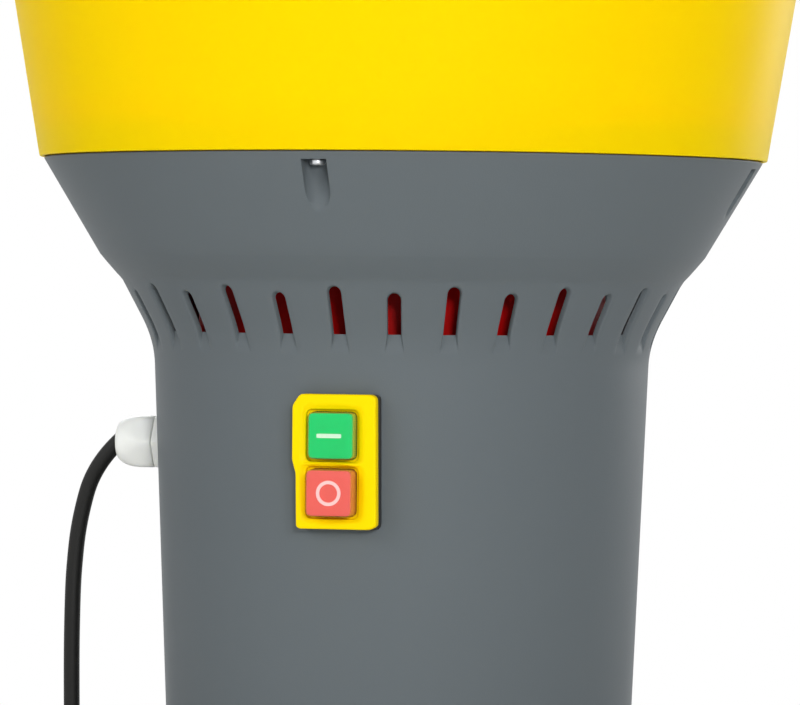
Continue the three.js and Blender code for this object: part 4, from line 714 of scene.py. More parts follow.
# Cells of a plain band, with rows at the radii and heights. A groove is cut back to its plane with rounded edges,
# and boss bends the rows round the screw pockets.
def plainCells(radii, heights, cells, half, groove=False, boss=False):
    radii, heights = np.asarray(radii, float)[:, None], np.asarray(heights, float)[:, None]
    angles = columnAngles(radii[:, 0], half)
    if boss:
        return [gridSheet(behindBoss(angles + cell * cellPitch, radii, heights)) for cell in cells]
    depth = 0
    if groove:
        limit = np.array([0, 0, 0, 0, 0.3 * ventShape["round"], ventShape["round"]] + [np.inf] * 4)
        limit = np.concatenate([limit, limit[-2::-1]])
        depth = np.minimum(np.maximum(radii * np.cos(angles) - ventShape["plane"], 0), limit)
    return [gridSheet(atAngle(radii, angles, heights, cell, depth)) for cell in cells]


# Inside the housing each pocket's wall, part of a cylinder, stands in front of the cone's wall
def behindBoss(angle, radius, height):
    quarter = np.round(angle / (math.pi / 2)) * math.pi / 2
    across, out = radius * np.sin(angle - quarter), radius * np.cos(angle - quarter)
    reach = pocketShape["radius"] + pocketShape["wall"]
    wall = pocketShape["circle"] - np.sqrt(np.maximum(reach ** 2 - across ** 2, 0))
    out = np.where(np.abs(across) < reach, np.minimum(out, wall), out)
    return np.stack([across * np.cos(quarter) + out * np.sin(quarter),
                     across * np.sin(quarter) - out * np.cos(quarter), height + 0 * across], axis=-1)


# Up a vent's left side, over its round top and down its right side, moved outwards by beyond
def ventOutline(top, beyond):
    v = ventShape
    reach, springing = v["half"] + beyond, top - v["half"]
    up = np.linspace(v["sill"], springing, v["sideSteps"] + 1)[:-1]
    turn = np.linspace(math.pi, 0, v["columns"] + 1)
    across = np.concatenate([0 * up - reach, reach * np.cos(turn), 0 * up + reach])
    return across, np.concatenate([up, springing + reach * np.sin(turn), up[::-1]])


# A cell with a vent: loops round the vent at the steps (beyond, depth), then loops that spread to the cell's edge
def ventCell(radiusAt, top, bandTop, steps, cell):
    loops = []
    for beyond, depth in steps:
        across, height = ventOutline(top, beyond)
        loops.append((np.arcsin(across / radiusAt(height)), height, 0 * height + depth))
    up = np.linspace(ventShape["sill"], bandTop, ventShape["sideSteps"] + 1)[:-1]
    over = columnAngles(radiusAt(bandTop), ventShape["half"])[0]
    edge = np.array([np.concatenate([0 * up - cellPitch / 2, over, 0 * up + cellPitch / 2]),
                     np.concatenate([up, 0 * over + bandTop, up[::-1]]), np.zeros(len(over) + 2 * len(up))])
    last = np.array(loops[-1]) * [[1], [1], [0]]
    loops += [last * (1 - share) + edge * share for share in (1 / 3, 2 / 3, 1)]
    angle, height, depth = np.array(loops).transpose(1, 0, 2)
    return gridSheet(atAngle(radiusAt(height), angle, height, cell, depth))


# The walls of a vent, drawn straight out through the housing's wall
def ventTunnel(top, cell):
    v = ventShape
    across, height = ventOutline(top, 0)
    outer = np.sqrt(housingRadius(height) ** 2 - across ** 2) - v["round"]
    within, low = ventOutline(top, -v["draft"])
    inner = np.sqrt(hollowRadius(low) ** 2 - within ** 2)
    drawn = np.sqrt(housingRadius(low) ** 2 - within ** 2) - v["round"]
    middle = inner + (v["plane"] - inner[0]) / (drawn[0] - inner[0]) * (drawn - inner)
    return gridSheet(inCell(np.array([across, within, within]), np.array([outer, middle, inner]),
                            np.array([height, low, low]), cell))


# The sill's narrow strip between the groove's plane and the inside
def ventSill(cell):
    sill, plane = ventShape["sill"], ventShape["plane"]
    strip = []
    for radius, limit in ((housingRadius(sill), plane), (hollowRadius(sill), np.inf)):
        angle = columnAngles(radius, ventShape["half"])[0][6:13]  # the columns across the opening
        strip.append(inCell(radius * np.sin(angle), np.minimum(radius * np.cos(angle), limit), sill, cell))
    return gridSheet(strip)


# The closed edge of a patch of cells, as angles from its middle and heights: bottom, right, top, left
def patchEdge(radiusAt, low, high, rows, cells, half):
    sides = []
    for height in (low, high):
        angle = columnAngles(radiusAt(height), half)[0][:-1]
        sides.append(np.concatenate([angle + (k - (cells - 1) / 2) * cellPitch for k in range(cells)]))
    edge = cells * cellPitch / 2
    up, down = np.linspace(low, high, rows + 1)[:-1], np.linspace(high, low, rows + 1)[:-1]
    angle = np.concatenate([sides[0], 0 * up + edge, -sides[1], 0 * down - edge])
    return angle, np.concatenate([0 * sides[0] + low, up, 0 * sides[1] + high, down])


# A patch of cells with a hole: loops from the hole's outline to the patch's edge
def holedPatch(radiusAt, outline, edge, layers, cell):
    across, height = outline
    hole = np.array([np.arcsin(across / radiusAt(height)), height])
    share = np.linspace(0, 1, layers + 1)[:, None, None]
    angles, heights = (hole * (1 - share) + np.array(edge) * share).transpose(1, 0, 2)
    return gridSheet(atAngle(radiusAt(heights), angles, heights, cell), closed=True)


# A hole's wall, straight through the housing's wall
def holeTunnel(outline, cell):
    across, height = outline
    return gridSheet([inCell(across, np.sqrt(radiusAt(height) ** 2 - across ** 2), height, cell)
                      for radiusAt in (housingRadius, hollowRadius)], closed=True)


# Four straight sides round an opening's middle, from the lower left corner
def rectangleOutline(opening, columns, rows):
    x, z = opening["half"]
    along, up = np.linspace(-x, x, columns + 1)[:-1], np.linspace(-z, z, rows + 1)[:-1]
    across = np.concatenate([along, 0 * up + x, -along, 0 * up - x])
    return across, opening["height"] + np.concatenate([0 * along - z, up, 0 * along + z, -up])


# Four quarters of a circle round an opening's middle, from the lower left
def circleOutline(opening, columns, rows):
    starts = [(-135, columns), (-45, rows), (45, columns), (135, rows)]
    angle = np.radians(np.concatenate([start + np.arange(count) * 90 / count for start, count in starts]))
    return opening["radius"] * np.cos(angle), opening["height"] + opening["radius"] * np.sin(angle)


# A screw pocket: the back of an upright cylinder, sides that run straight out, and a ceiling
def pocketSheets(rows, columns, cell):
    p, h = pocketShape, housingShape
    turn = np.linspace(-math.pi / 2, math.pi / 2, columns + 1)
    x, back = p["radius"] * np.sin(turn), p["circle"] - p["radius"] * np.cos(turn)
    foot = h["top"] - (h["coneTop"] - np.hypot(x, back)) / h["coneTaper"]
    share = np.linspace(0, 1, rows + 1)[:, None]
    wallHeight = foot * (1 - share) + p["ceiling"] * share
    wall = gridSheet(inCell(x + 0 * wallHeight, back + 0 * wallHeight, wallHeight, cell))
    up = wallHeight[:, -1]
    surface = np.sqrt(housingRadius(up) ** 2 - p["radius"] ** 2)
    surface[0] = back[-1]
    reach = np.linspace(0, 1, 5)
    out = back[-1] + (surface - back[-1])[:, None] * reach
    sides = [gridSheet(inCell(0 * out + side * p["radius"], out, up[:, None] + 0 * out, cell)) for side in (-1, 1)]
    front = np.sqrt(housingRadius(p["ceiling"]) ** 2 - x ** 2)
    ceilingOut = back + (front - back) * reach[:, None]
    ceiling = gridSheet(inCell(x + 0 * ceilingOut, ceilingOut, p["ceiling"] + 0 * ceilingOut, cell))
    across = np.concatenate([x[:-1], 0 * up[:-1] + p["radius"], x[:0:-1], 0 * up[:-1] - p["radius"]])
    height = np.concatenate([foot[:-1], up[:-1], 0 * x[1:] + p["ceiling"], up[:0:-1]])
    return [wall, ceiling] + sides, (across, height)


# The cells that no patch covers, each patch given by its middle cell and its count of cells
def outsidePatches(patches):
    covered = {int(cell - (cells - 1) / 2 + k) % ventShape["count"] for cell, cells in patches for k in range(cells)}
    return [cell for cell in range(ventShape["count"]) if cell not in covered]


# Plain cells on a surface that is given by its radius at a height
def band(radiusAt, heights, half, cells=everyCell, **more):
    return plainCells(radiusAt(heights), heights, cells, half, **more)


# The wall from the foot to the neck, outside and inside, with the openings for the switch and the gland
def wallSheets():
    v, rows = ventShape, housingShape["bandRows"]
    low, high = switchOpening["low"], switchOpening["high"]
    openings = []
    for opening, outlineOf, layers in ((switchOpening, rectangleOutline, 4), (glandOpening, circleOutline, 5)):
        cell, cells = opening["cell"], opening["cells"]
        openings.append((outlineOf(opening, v["columns"] * cells, rows), cell, cells, layers))
    plain = outsidePatches([opening[1:3] for opening in openings])
    sheets = []
    for radiusAt in (housingRadius, hollowRadius):
        sheets += band(radiusAt, np.linspace(housingShape["wallFoot"], low, 8), v["footHalf"])
        sheets += band(radiusAt, np.linspace(low, high, rows + 1), v["footHalf"], plain)
        for outline, cell, cells, layers in openings:
            edge = patchEdge(radiusAt, low, high, rows, cells, v["footHalf"])
            sheets.append(holedPatch(radiusAt, outline, edge, layers, cell))
    return sheets + [holeTunnel(outline, cell) for outline, cell, cells, layers in openings]


# The neck with its grooves, then each vent: its cell outside and inside, its walls and its sill
def neckSheets():
    v = ventShape
    foot, (first, second, step) = switchOpening["high"], v["neckRows"]
    outside = np.concatenate([[foot, first], np.arange(second, v["sill"] + 0.1, step)])
    inside = np.concatenate([[foot], np.linspace(first, v["sill"], 9)])
    sheets = band(housingRadius, outside, grooveHalf(outside), groove=True)
    sheets += band(hollowRadius, inside, grooveHalf(inside))
    edge = v["round"]
    outerSteps = [(0, edge), (0.3 * edge, 0.3 * edge), (edge, 0)]
    innerSteps = [(-v["draft"], 0), (0, 0), (0.3 * edge, 0), (edge, 0)]
    for cell in everyCell:
        top = v["sill"] + (v["tall"] if cell % 2 == 0 else v["short"])
        sheets += [ventCell(housingRadius, top, v["bandTop"], outerSteps, cell),
                   ventCell(hollowRadius, top, v["innerBandTop"], innerSteps, cell),
                   ventTunnel(top, cell), ventSill(cell)]
    return sheets


# The outside of the cone with the screw pockets
def coneSheets():
    v, p, rows = ventShape, pocketShape, housingShape["bandRows"]
    first, second = v["coneRows"]
    plain = np.concatenate([np.linspace(v["bandTop"], first, 8), [second, p["low"]]])
    sheets = band(housingRadius, plain, v["half"])
    sheets += band(housingRadius, np.linspace(p["low"], p["high"], rows + 1), v["half"], outsidePatches(p["places"]))
    for cell, cells in p["places"]:
        parts, outline = pocketSheets(rows, v["columns"] * cells, cell)
        edge = patchEdge(housingRadius, p["low"], p["high"], rows, cells, v["half"])
        sheets += parts + [holedPatch(housingRadius, outline, edge, 5, cell)]
    return sheets


# Over the top, down the inside round the pockets, and round the ledge
def topSheets():
    h, p, half = housingShape, pocketShape, ventShape["half"]
    ceiling, rim, ring = p["ceiling"], h["flangeInner"], h["flangeInner"] + h["topEdge"]
    over = rounded([(housingRadius(p["high"]), p["high"], 0), (h["coneTop"], h["top"], 0.8), (ring, h["top"], 0)],
                   closed=False)
    sheets = plainCells(over[:, 0], over[:, 1], everyCell, half)
    inside = np.concatenate([[h["ledgeTop"]], np.linspace(p["innerLow"], ceiling, 9)])
    sheets += band(hollowRadius, inside, half, boss=True)
    reach, rise = [hollowRadius(ceiling), rim, rim], [ceiling, ceiling, h["top"]]
    sheets += plainCells(reach, rise, everyCell, half, boss=True)
    for cell in everyCell:
        inner = behindBoss(columnAngles(rim, half)[0] + cell * cellPitch, rim, h["top"])
        sheets.append(gridSheet([inner, atAngle(ring, columnAngles(ring, half)[0], h["top"], cell)]))
    under, upper, reach = h["ledgeTop"] - h["ledgeThickness"], h["ledgeTop"], h["ledgeInner"]
    ledge = rounded([(hollowRadius(under), under, 0), (reach, under, 0.6), (reach, upper, 0.6),
                     (hollowRadius(upper), upper, 0)], closed=False, steps=3)
    return sheets + plainCells(ledge[:, 0], ledge[:, 1], everyCell, half)


# The foot: a lip round a channel that sits over the rim of a bucket
def footSheets():
    h = housingShape
    start, top, lip, inner, channel = h["wallFoot"], h["footTop"], h["lip"], h["lip"] - h["lipWall"], h["channelTop"]
    foot = rounded([
        (housingRadius(start), start, 0), (housingRadius(top), top, 1.6), (lip, top, 1.2), (lip, 0, 1.0),
        (inner, 0, 1.0), (inner, channel, 0.8), (housingRadius(channel), channel, 0.8), (housingRadius(0), 0, 0.9),
        (hollowRadius(0), 0, 0.9), (hollowRadius(start), start, 0)], closed=False, steps=4)
    return plainCells(foot[:, 0], foot[:, 1], everyCell, ventShape["footHalf"])


# A thin upright rib with rounded edges: loops of an outline in the across direction, closed at both ends
def ribSheet(outline, thickness, edge, cell):
    middle = outline.mean(axis=0)
    size = np.abs(outline - middle).max()
    steps = [(0, -1), (1 - edge / size, -1), (1 - 0.3 * edge / size, -1 + 0.6 * edge / thickness),
             (1, -1 + 2 * edge / thickness)]
    rows = []
    for scale, side in steps + [(scale, -side) for scale, side in steps[::-1]]:
        out, up = (middle + (outline - middle) * scale).T
        rows.append(inCell(np.full(len(outline), side * thickness / 2), out, up, cell))
    return gridSheet(rows, closed=True)


# The shell's sheets, the ribs on the foot and the bosses under the ledge
def makeHousing():
    h, r, b = housingShape, ribShape, ledgeBossShape
    foot, top, lip = r["foot"], r["top"], h["lip"] - h["lipWall"]
    outline = rounded([(housingRadius(foot) - r["sunk"], foot, 0), (lip, foot, 0.3), (lip, r["clear"], 1),
                       (housingRadius(top) + r["out"], top, 2), (housingRadius(top) - r["sunk"], top, 0)], steps=3)
    ribs = [ribSheet(outline, r["thickness"], r["edge"], (r["first"] / 360 + k / r["count"]) * ventShape["count"])
            for k in range(r["count"])]
    profile = rounded([(0, b["low"], 0), (b["radius"], b["low"], b["edge"]), (b["radius"], b["high"], 0),
                       (0, b["high"], 0)], closed=False, steps=3)
    bosses = onCircle(turned(profile, 24, (0, -b["circle"]), closed=False), 4, b["first"])
    shell = wallSheets() + neckSheets() + coneSheets() + topSheets() + footSheets()
    putPiece("housing_moulding", shell + ribs + bosses, "mill_body", "housing", 50, ("housing", "foot_ring"))


makeHousing()


# The hopper: a tapered bowl over a funnel and a throat, with a rim turned down and four screw bosses below
hopperShape = {
    "bottom": 364.7, "bottomRadius": 187.6, "taper": 0.166, "top": 690.7, "wall": 3.0,
    "rimOverhang": 8.0, "rimDrop": 10.0, "rimWall": 2.2, "funnelTop": 390.2, "funnelFoot": 322.2, "throat": 62.0,
    "throatBottom": 313.2, "slope": 0.536, "drop": 3.4, "columns": 256, "skirtGap": 0.5,
    "bossRadius": 6.0, "bossCircle": 174.8, "bossSunk": 2.0,
}


# One closed profile: up the outside, over the rim, down the inside, through the throat and back under the funnel
def makeHopper():
    h = hopperShape
    bottom, top, throat, foot = h["bottom"], h["top"], h["throat"], h["throatBottom"]

    def outer(height):
        return h["bottomRadius"] + h["taper"] * (height - bottom)

    def under(radius):
        return h["funnelFoot"] + h["slope"] * (radius - throat) - h["drop"]

    inner = [outer(height) - h["wall"] for height in (bottom, h["funnelTop"], top)]
    rim, rimUnder, rimFoot = outer(top) + h["rimOverhang"], top - h["wall"], top - h["rimDrop"]
    skirt, neck = inner[1] - h["skirtGap"], throat + h["wall"]
    profile = rounded([
        (inner[0], bottom, 1.2), (h["bottomRadius"], bottom, 0.7), (outer(rimUnder), rimUnder, 3),
        (rim - h["rimWall"], rimUnder, 2.5), (rim - h["rimWall"], rimFoot, 1.0), (rim, rimFoot, 1.0), (rim, top, 4.5),
        (inner[2], top, 4), (inner[1], h["funnelTop"], 14), (throat, h["funnelFoot"], 8), (throat, foot, 1.2),
        (neck, foot, 1.2), (neck, under(neck), 6), (skirt, under(skirt), 8)], steps=6)
    end, radius = under(h["bossCircle"]) + h["bossSunk"], h["bossRadius"]
    outline = rounded([(0, bottom, 0), (radius, bottom, 0.8), (radius, end, 0), (0, end, 0)], closed=False, steps=3)
    boss = turned(outline, 32, (0, -h["bossCircle"]), closed=False)
    putPiece("hopper_moulding", [turned(profile, h["columns"])] + onCircle(boss, 4), "mill_body", "hopper", 50,
             ("hopper",))


makeHopper()


# The milling drum: pressed steel with a flange and six windows in its floor for the meal
drumShape = {
    "bore": 22.0, "floorStep": 57.0, "radius": 105.0, "bottom": 250.0, "top": 307.8, "gauge": 2.0, "flange": 142.6,
    "windows": 6, "windowRadii": (92.25, 101.25), "windowHalf": 23.0, "firstWindow": 30.0,
    "windowColumns": 28, "barColumns": 4, "corners": ((3.6, 1.6), (1.7, 3.5)),  # at the floor and the flange
}


# The drum's two faces are the same polyline at its gauge apart; both carry a row at each edge of the windows
def makeDrum():
    d = drumShape
    low, high = d["windowRadii"]
    rows = []
    for inward, (floorCorner, flangeCorner) in enumerate(d["corners"]):
        wall, floor = d["radius"] - inward * d["gauge"], d["bottom"] + inward * d["gauge"]
        flange = d["top"] - (1 - inward) * d["gauge"]
        rows.append(rounded([(d["bore"], floor, 0), (d["floorStep"], floor, 0), (low, floor, 0), (high, floor, 0),
                             (wall, floor, floorCorner), (wall, flange, flangeCorner), (d["flange"], flange, 0)],
                            closed=False, steps=6))
    sector, half = 360 / d["windows"], d["windowHalf"]
    bar, window = d["barColumns"], d["windowColumns"]
    stops = [(-sector / 2, -half, bar), (-half, half, window), (half, sector / 2, bar)]
    across = np.concatenate([np.linspace(low, high, count + 1)[:-1] for low, high, count in stops])
    angle = np.radians(np.concatenate([across + d["firstWindow"] + sector * k for k in range(d["windows"])]))
    solid = np.ones((len(rows[0]) - 1, len(angle)), bool)
    solid[2] = np.abs(np.tile((across + np.roll(across, -1)) / 2, d["windows"])) > half
    solid[2, len(across) - 1::len(across)] = True
    grids = [roundAxis(row[:, :1], row[:, 1:], angle) for row in rows]
    putPiece("chamber_drum_pressing", [slab(*grids, solid)], "mill_body", "drum", 40, ("chamber_drum",))


makeDrum()


# The switch: a bevelled yellow plate with a bulge, two buttons in wells, and a clear soft hood over each
switchShape = {
    "front": -134.0, "back": -128.9, "split": 212.45, "half": (20.3, 31.85, 34.25),  # across, below and above it
    "outline": [(-20.4, 180.6, 2.0), (16.6, 180.6, 4.0), (20.2, 182.3, 2.2), (19.5, 246.7, 3.0), (-18.9, 246.7, 3.2),
                (-22.65, 241.0, 4.5), (-22.65, 214.2, 6.0), (-20.8, 207.8, 6.0)],
    "bevel": 1.0, "dish": 1.1, "dishReach": 3.4, "side": 26, "fine": 2400, "touching": 0.02, "atSplit": 0.12,
    "dishShares": (0.05, 0.12, 0.2, 0.3, 0.42, 0.56, 0.72, 0.86, 1.0),  # from the well's edge to the bevel
    "bevelSteps": ((0.62, 0.06), (0.3, 0.28), (0.08, 0.62), (0.0, 1.05)),  # parts of the bevel, in and down
    "wellAcross": -2.4, "wellSize": (26.8, 25.8), "wellCorner": 3.0, "wellEdge": 0.35,
    "ledge": (23.7, 23.7), "ledgeThick": 1.0, "wells": {"start": 226.4, "stop": 198.5},
}
buttonShape = {
    "rise": {"start": 3.0, "stop": 6.0},
    "size": 22.2, "corner": 1.9, "foot": 24.6, "footFront": -124.9, "back": -118.9, "edge": 0.4,
    "hood": 23.2, "hoodWall": 0.4, "hoodCorner": 2.4, "hoodRise": 1.0, "hoodBack": -129.8,
    "markProud": 0.12, "barAcross": -3.1, "barSize": (12.4, 2.1), "barCorner": 0.3, "ringRadius": 6.2,
    "ringStroke": 1.7, "barInset": 0.04, "ringInset": 0.05,
    "markRows": ((0, 0.1), (0, -0.6), (1, -1.0)),  # parts of the inset and of the proud height
}


# A half of the plate's outline as four sides of n points: the split is a side, and each side has its own corner
def halfOutline(shape, upper):
    split, n, vertical = shape["split"], shape["side"], 1 if upper else -1
    corners = rounded(shape["outline"], steps=8)
    edge = resampled(np.concatenate([corners, corners[:1]]), shape["fine"])
    cross = []
    for side in (-1, 1):
        part = edge[edge[:, 0] * side > 0]
        part = part[np.argsort(part[:, 1])]
        cross.append(np.array([[np.interp(split, part[:, 1], part[:, 0]), split]]))
    part = edge[:-1][vertical * (edge[:-1, 1] - split) > shape["touching"]]
    part = part[np.argsort(np.arctan2(part[:, 1] - split, part[:, 0]))]
    first = int(np.argmax(vertical * (part[:, 1] + part[:, 0])))
    second = int(np.argmax(vertical * (part[:, 1] - part[:, 0])))
    chain = [part[:first + 1], part[first:second + 1], part[second:]]
    if upper:
        sides = [cross, [cross[1], chain[0]], [chain[1]], [chain[2], cross[0]]]
    else:
        sides = [[chain[1]], [chain[2], cross[1]], cross[::-1], [cross[0], chain[0]]]
    return np.concatenate([resampled(np.concatenate(side), n + 1)[:-1] for side in sides])


# One half of the plate: loops from the well over the dish and the flat to the bevel, then round to the back
def plateHalf(shape, well, upper):
    outer = halfOutline(shape, upper)
    place = (shape["wellAcross"], well)
    inner = roundedRectangle(*shape["wellSize"], shape["wellCorner"], shape["side"], place)
    ledge = roundedRectangle(*shape["ledge"], shape["wellCorner"], shape["side"], place)
    middle, half = np.array([0, shape["split"]]), np.array([shape["half"][0], shape["half"][2 if upper else 1]])
    dish, lip, bevel, thick = shape["dish"], shape["wellEdge"], shape["bevel"], shape["back"] - shape["front"]

    def drawnIn(distance):
        return middle + (outer - middle) * (1 - distance / half)

    def dishAt(flat):
        return dish * (1 - eased(np.clip(np.linalg.norm(flat - inner, axis=1) / shape["dishReach"], 0, 1)))

    flat = drawnIn(bevel)
    floor = thick - shape["ledgeThick"]
    rows = [(ledge, thick), (ledge, floor), (inner, floor), (inner, dish + lip),
            (inner + (flat - inner) * 0.02, dish + 0.25 * lip)]
    for share in shape["dishShares"]:
        across = inner + (flat - inner) * share
        rows.append((across, dishAt(across)))
    for distance, depth in shape["bevelSteps"]:
        rows.append((drawnIn(distance * bevel), dishAt(flat) + depth * bevel))
    rows += [(outer, thick), (ledge, thick)]
    corners, faces = gridSheet([standing(row, shape["front"] + depth) for row, depth in rows], closed=True)
    inside = (np.abs(corners[faces][:, :, 2] - shape["split"]) < shape["atSplit"]).all(axis=1)
    return corners, faces[~inside]


# The plate from its halves, then each button and its hood from rounded squares (size, corner, depth)
def makeSwitch():
    s, b = switchShape, buttonShape
    halves = [plateHalf(s, s["wells"][name], name == "start") for name in ("start", "stop")]
    putPiece("switch_plate_moulding", halves, "mill_body", "plate", 35, ("switch_plate",))
    for name in ("start", "stop"):
        height, face, body = s["wells"][name], s["front"] - b["rise"][name], name + "_push"

        def squares(steps):
            return [capped([standing(roundedRectangle(size, size, corner, 12, (s["wellAcross"], height)), depth)
                            for size, corner, depth in steps])]

        size, edge, corner = b["size"], b["edge"], b["corner"]
        cap = [(b["foot"], corner, b["back"]), (b["foot"], corner, b["footFront"]), (size, corner, b["footFront"]),
               (size, corner, face + edge), (size - 0.2 * edge, corner, face + 0.5 * edge),
               (size - 0.8 * edge, corner, face + 0.15 * edge), (size - 1.8 * edge, corner - 0.4, face),
               (size - 8, 1.0, face + 0.08)]
        putPiece(name + "_button_cap", squares(cap), body, name, 40, (name + "_button",))
        top, wall, size, corner = face - b["hoodRise"], b["hoodWall"], b["hood"], b["hoodCorner"]
        inner, roof = size - 2 * wall, top + wall
        hood = [(size - 10, 0.6, roof), (inner - 1.2, corner - 1.2, roof), (inner, corner - wall, roof + 0.6),
                (inner, corner - wall, b["hoodBack"]), (size, corner, b["hoodBack"]), (size, corner, top + 1.2),
                (size - 0.25, corner, top + 0.55), (size - 1.0, corner - 0.3, top + 0.12),
                (size - 2.4, corner - 1.0, top), (size - 10, 0.6, top)]
        putPiece(name + "_clear_hood", squares(hood), body, "hoods", 50, (name + "_hood",))


# The marks: a bar on the start button, and a ring on the stop button that is a closed profile carried round
def makeMarks():
    s, b = switchShape, buttonShape
    proud, (wide, tall) = b["markProud"], b["barSize"]
    face = s["front"] - b["rise"]["start"]
    place = (b["barAcross"], s["wells"]["start"])
    loops = []
    for part, depth in b["markRows"]:
        less = 2 * part * b["barInset"]
        flat = roundedRectangle(wide - less, tall - less, b["barCorner"], 12, place)
        loops.append(standing(flat, face + depth * proud))
    putPiece("start_mark", [capped(loops)], "start_push", "gland", 40, finish="startMark")
    outer, inner = b["ringRadius"], b["ringRadius"] - b["ringStroke"]
    face = s["front"] - b["rise"]["stop"]
    profile = [(outer - part * b["ringInset"], depth) for part, depth in b["markRows"]]
    profile += [(inner + part * b["ringInset"], depth) for part, depth in b["markRows"][::-1]]
    profile = np.array(profile + profile[:1])
    place = (s["wellAcross"], s["wells"]["stop"])
    ring = roundAxis(profile[:, :1], face + proud * profile[:, 1:], aroundTurn(64), place)
    putPiece("stop_mark", [gridSheet(ring[..., [0, 2, 1]], closed=True)], "stop_push", "gland", 40, finish="stopMark")


makeSwitch()
makeMarks()


# The cable gland: a collar on the housing and a domed nut, softly hexagonal, along -X
glandShape = {
    "height": 216.7, "apothem": 13.5, "softness": 16.0, "columns": 96, "back": 119.6, "backRadius": 8.9,
    "collar": (125.87, 131.0), "neck": (9.0, 0.35), "nut": (131.3, 152.7), "nutBore": 9.5,
    "domeStart": 139.2, "domeSteps": 16, "domeFirst": 0.08, "domePowers": (2.2, 0.9), "domeRounding": 1.6,
    "mouth": 6.5, "mouthDepth": 5.0, "toCircle": 1.02,
}


# A soft hexagon's radius: the p-norm of the distances to its six flats, drawn towards a circle by share
def glandRadius(shape, angle, share):
    flats = np.radians(np.arange(6) * 60 + 90)
    reach = np.maximum(np.cos(angle[:, None] - flats), 0)
    soft = shape["apothem"] / (reach ** shape["softness"]).sum(axis=1) ** (1 / shape["softness"])
    return soft + (shape["apothem"] * shape["toCircle"] - soft) * share


# Both pieces are rings (distance out, radius); the dome's radius falls to the mouth like a flattened circle
def makeGland():
    g = glandShape
    angle = aroundTurn(g["columns"])
    plain = glandRadius(g, angle, 0.0)

    def put(name, steps, replaces):
        loops = []
        for out, radius in steps:
            radius = np.broadcast_to(radius, angle.shape)
            across, up = radius * np.cos(angle), radius * np.sin(angle)
            loops.append(np.stack([0 * angle - out, across, g["height"] + up], axis=1))
        putPiece(name, [capped(loops)], "mill_body", "gland", 40, replaces)

    start, end = g["collar"]
    radius, proud = g["neck"]
    put("gland_collar", [(g["back"], g["backRadius"]), (start, g["backRadius"]), (start, plain - 0.5),
                         (start + 0.4, plain), (end - 1.0, plain), (end - 0.3, plain - 0.35), (end, plain - 1.1),
                         (end, radius), (end + proud, radius)], ("gland_body",))
    start, end = g["nut"]
    dome, mouth = g["domeStart"], g["mouth"]
    steps = [(start, g["nutBore"]), (start, plain - 1.1), (start + 0.3, plain - 0.35), (start + 1.0, plain),
             (dome, plain)]
    power, flatter = g["domePowers"]
    for share in np.linspace(g["domeFirst"], 1.0, g["domeSteps"]):
        fall = math.sqrt(max(0.0, 1 - share ** power)) ** flatter
        around = glandRadius(g, angle, min(1.0, g["domeRounding"] * share))
        steps.append((dome + (end - dome) * share, mouth + (around - mouth) * fall))
    steps += [(end - 0.2, mouth - 0.45), (end - 0.8, mouth - 0.7), (end - g["mouthDepth"], mouth - 0.8)]
    put("gland_dome", steps, ("gland_nut",))


makeGland()


# The hopper's screws point up: a pan head with a cross recess in its lower face, and a plain shank
screwShape = {
    "circle": 174.8, "low": 357.5, "top": 372.8, "crown": (2.6, 0.12, 14),  # its radius, its depth and its rings
    "side": [(2.9, 0.18), (3.2, 0.3), (3.5, 0.52), (3.7, 0.8), (3.82, 1.15), (3.85, 1.6), (3.85, 2.6), (1.9, 2.6)],
    "shank": 1.9, "slot": 0.62, "slotReach": 2.3, "slotDepth": 1.3, "slotFall": 0.55, "slotRings": 15,
    "columns": 64,
}


# Rings (radius, height above the lowest point); the recess lifts what lies within a slot's half width of the cross
def makeScrews():
    s = screwShape
    reach, depth, count = s["crown"]
    length = s["top"] - s["low"]
    crown = np.linspace(0, reach, count)
    profile = np.concatenate([np.stack([crown, depth * (crown / reach) ** 2], axis=1), s["side"],
                              [(s["shank"], length), (0, length)]])
    radius, angle = profile[:, :1], aroundTurn(s["columns"])
    x, y = radius * np.sin(angle), radius * np.cos(angle)
    within = (np.minimum(np.abs(x), np.abs(y)) < s["slot"]) & (radius < s["slotReach"])
    within[s["slotRings"]:] = False
    deep = s["slotDepth"] * (1 - s["slotFall"] * np.clip(radius / s["slotReach"], 0, 1)) * within
    points = np.stack([x, y - s["circle"], s["low"] + profile[:, 1:] + deep], axis=-1)
    for k, screw in enumerate(onCircle(gridSheet(points, closed=True), 4), 1):
        putPiece("hopper_screw_head_%d" % k, [screw], "mill_body", "zinc", 40, ("hopper_screw_%d" % k,))


makeScrews()


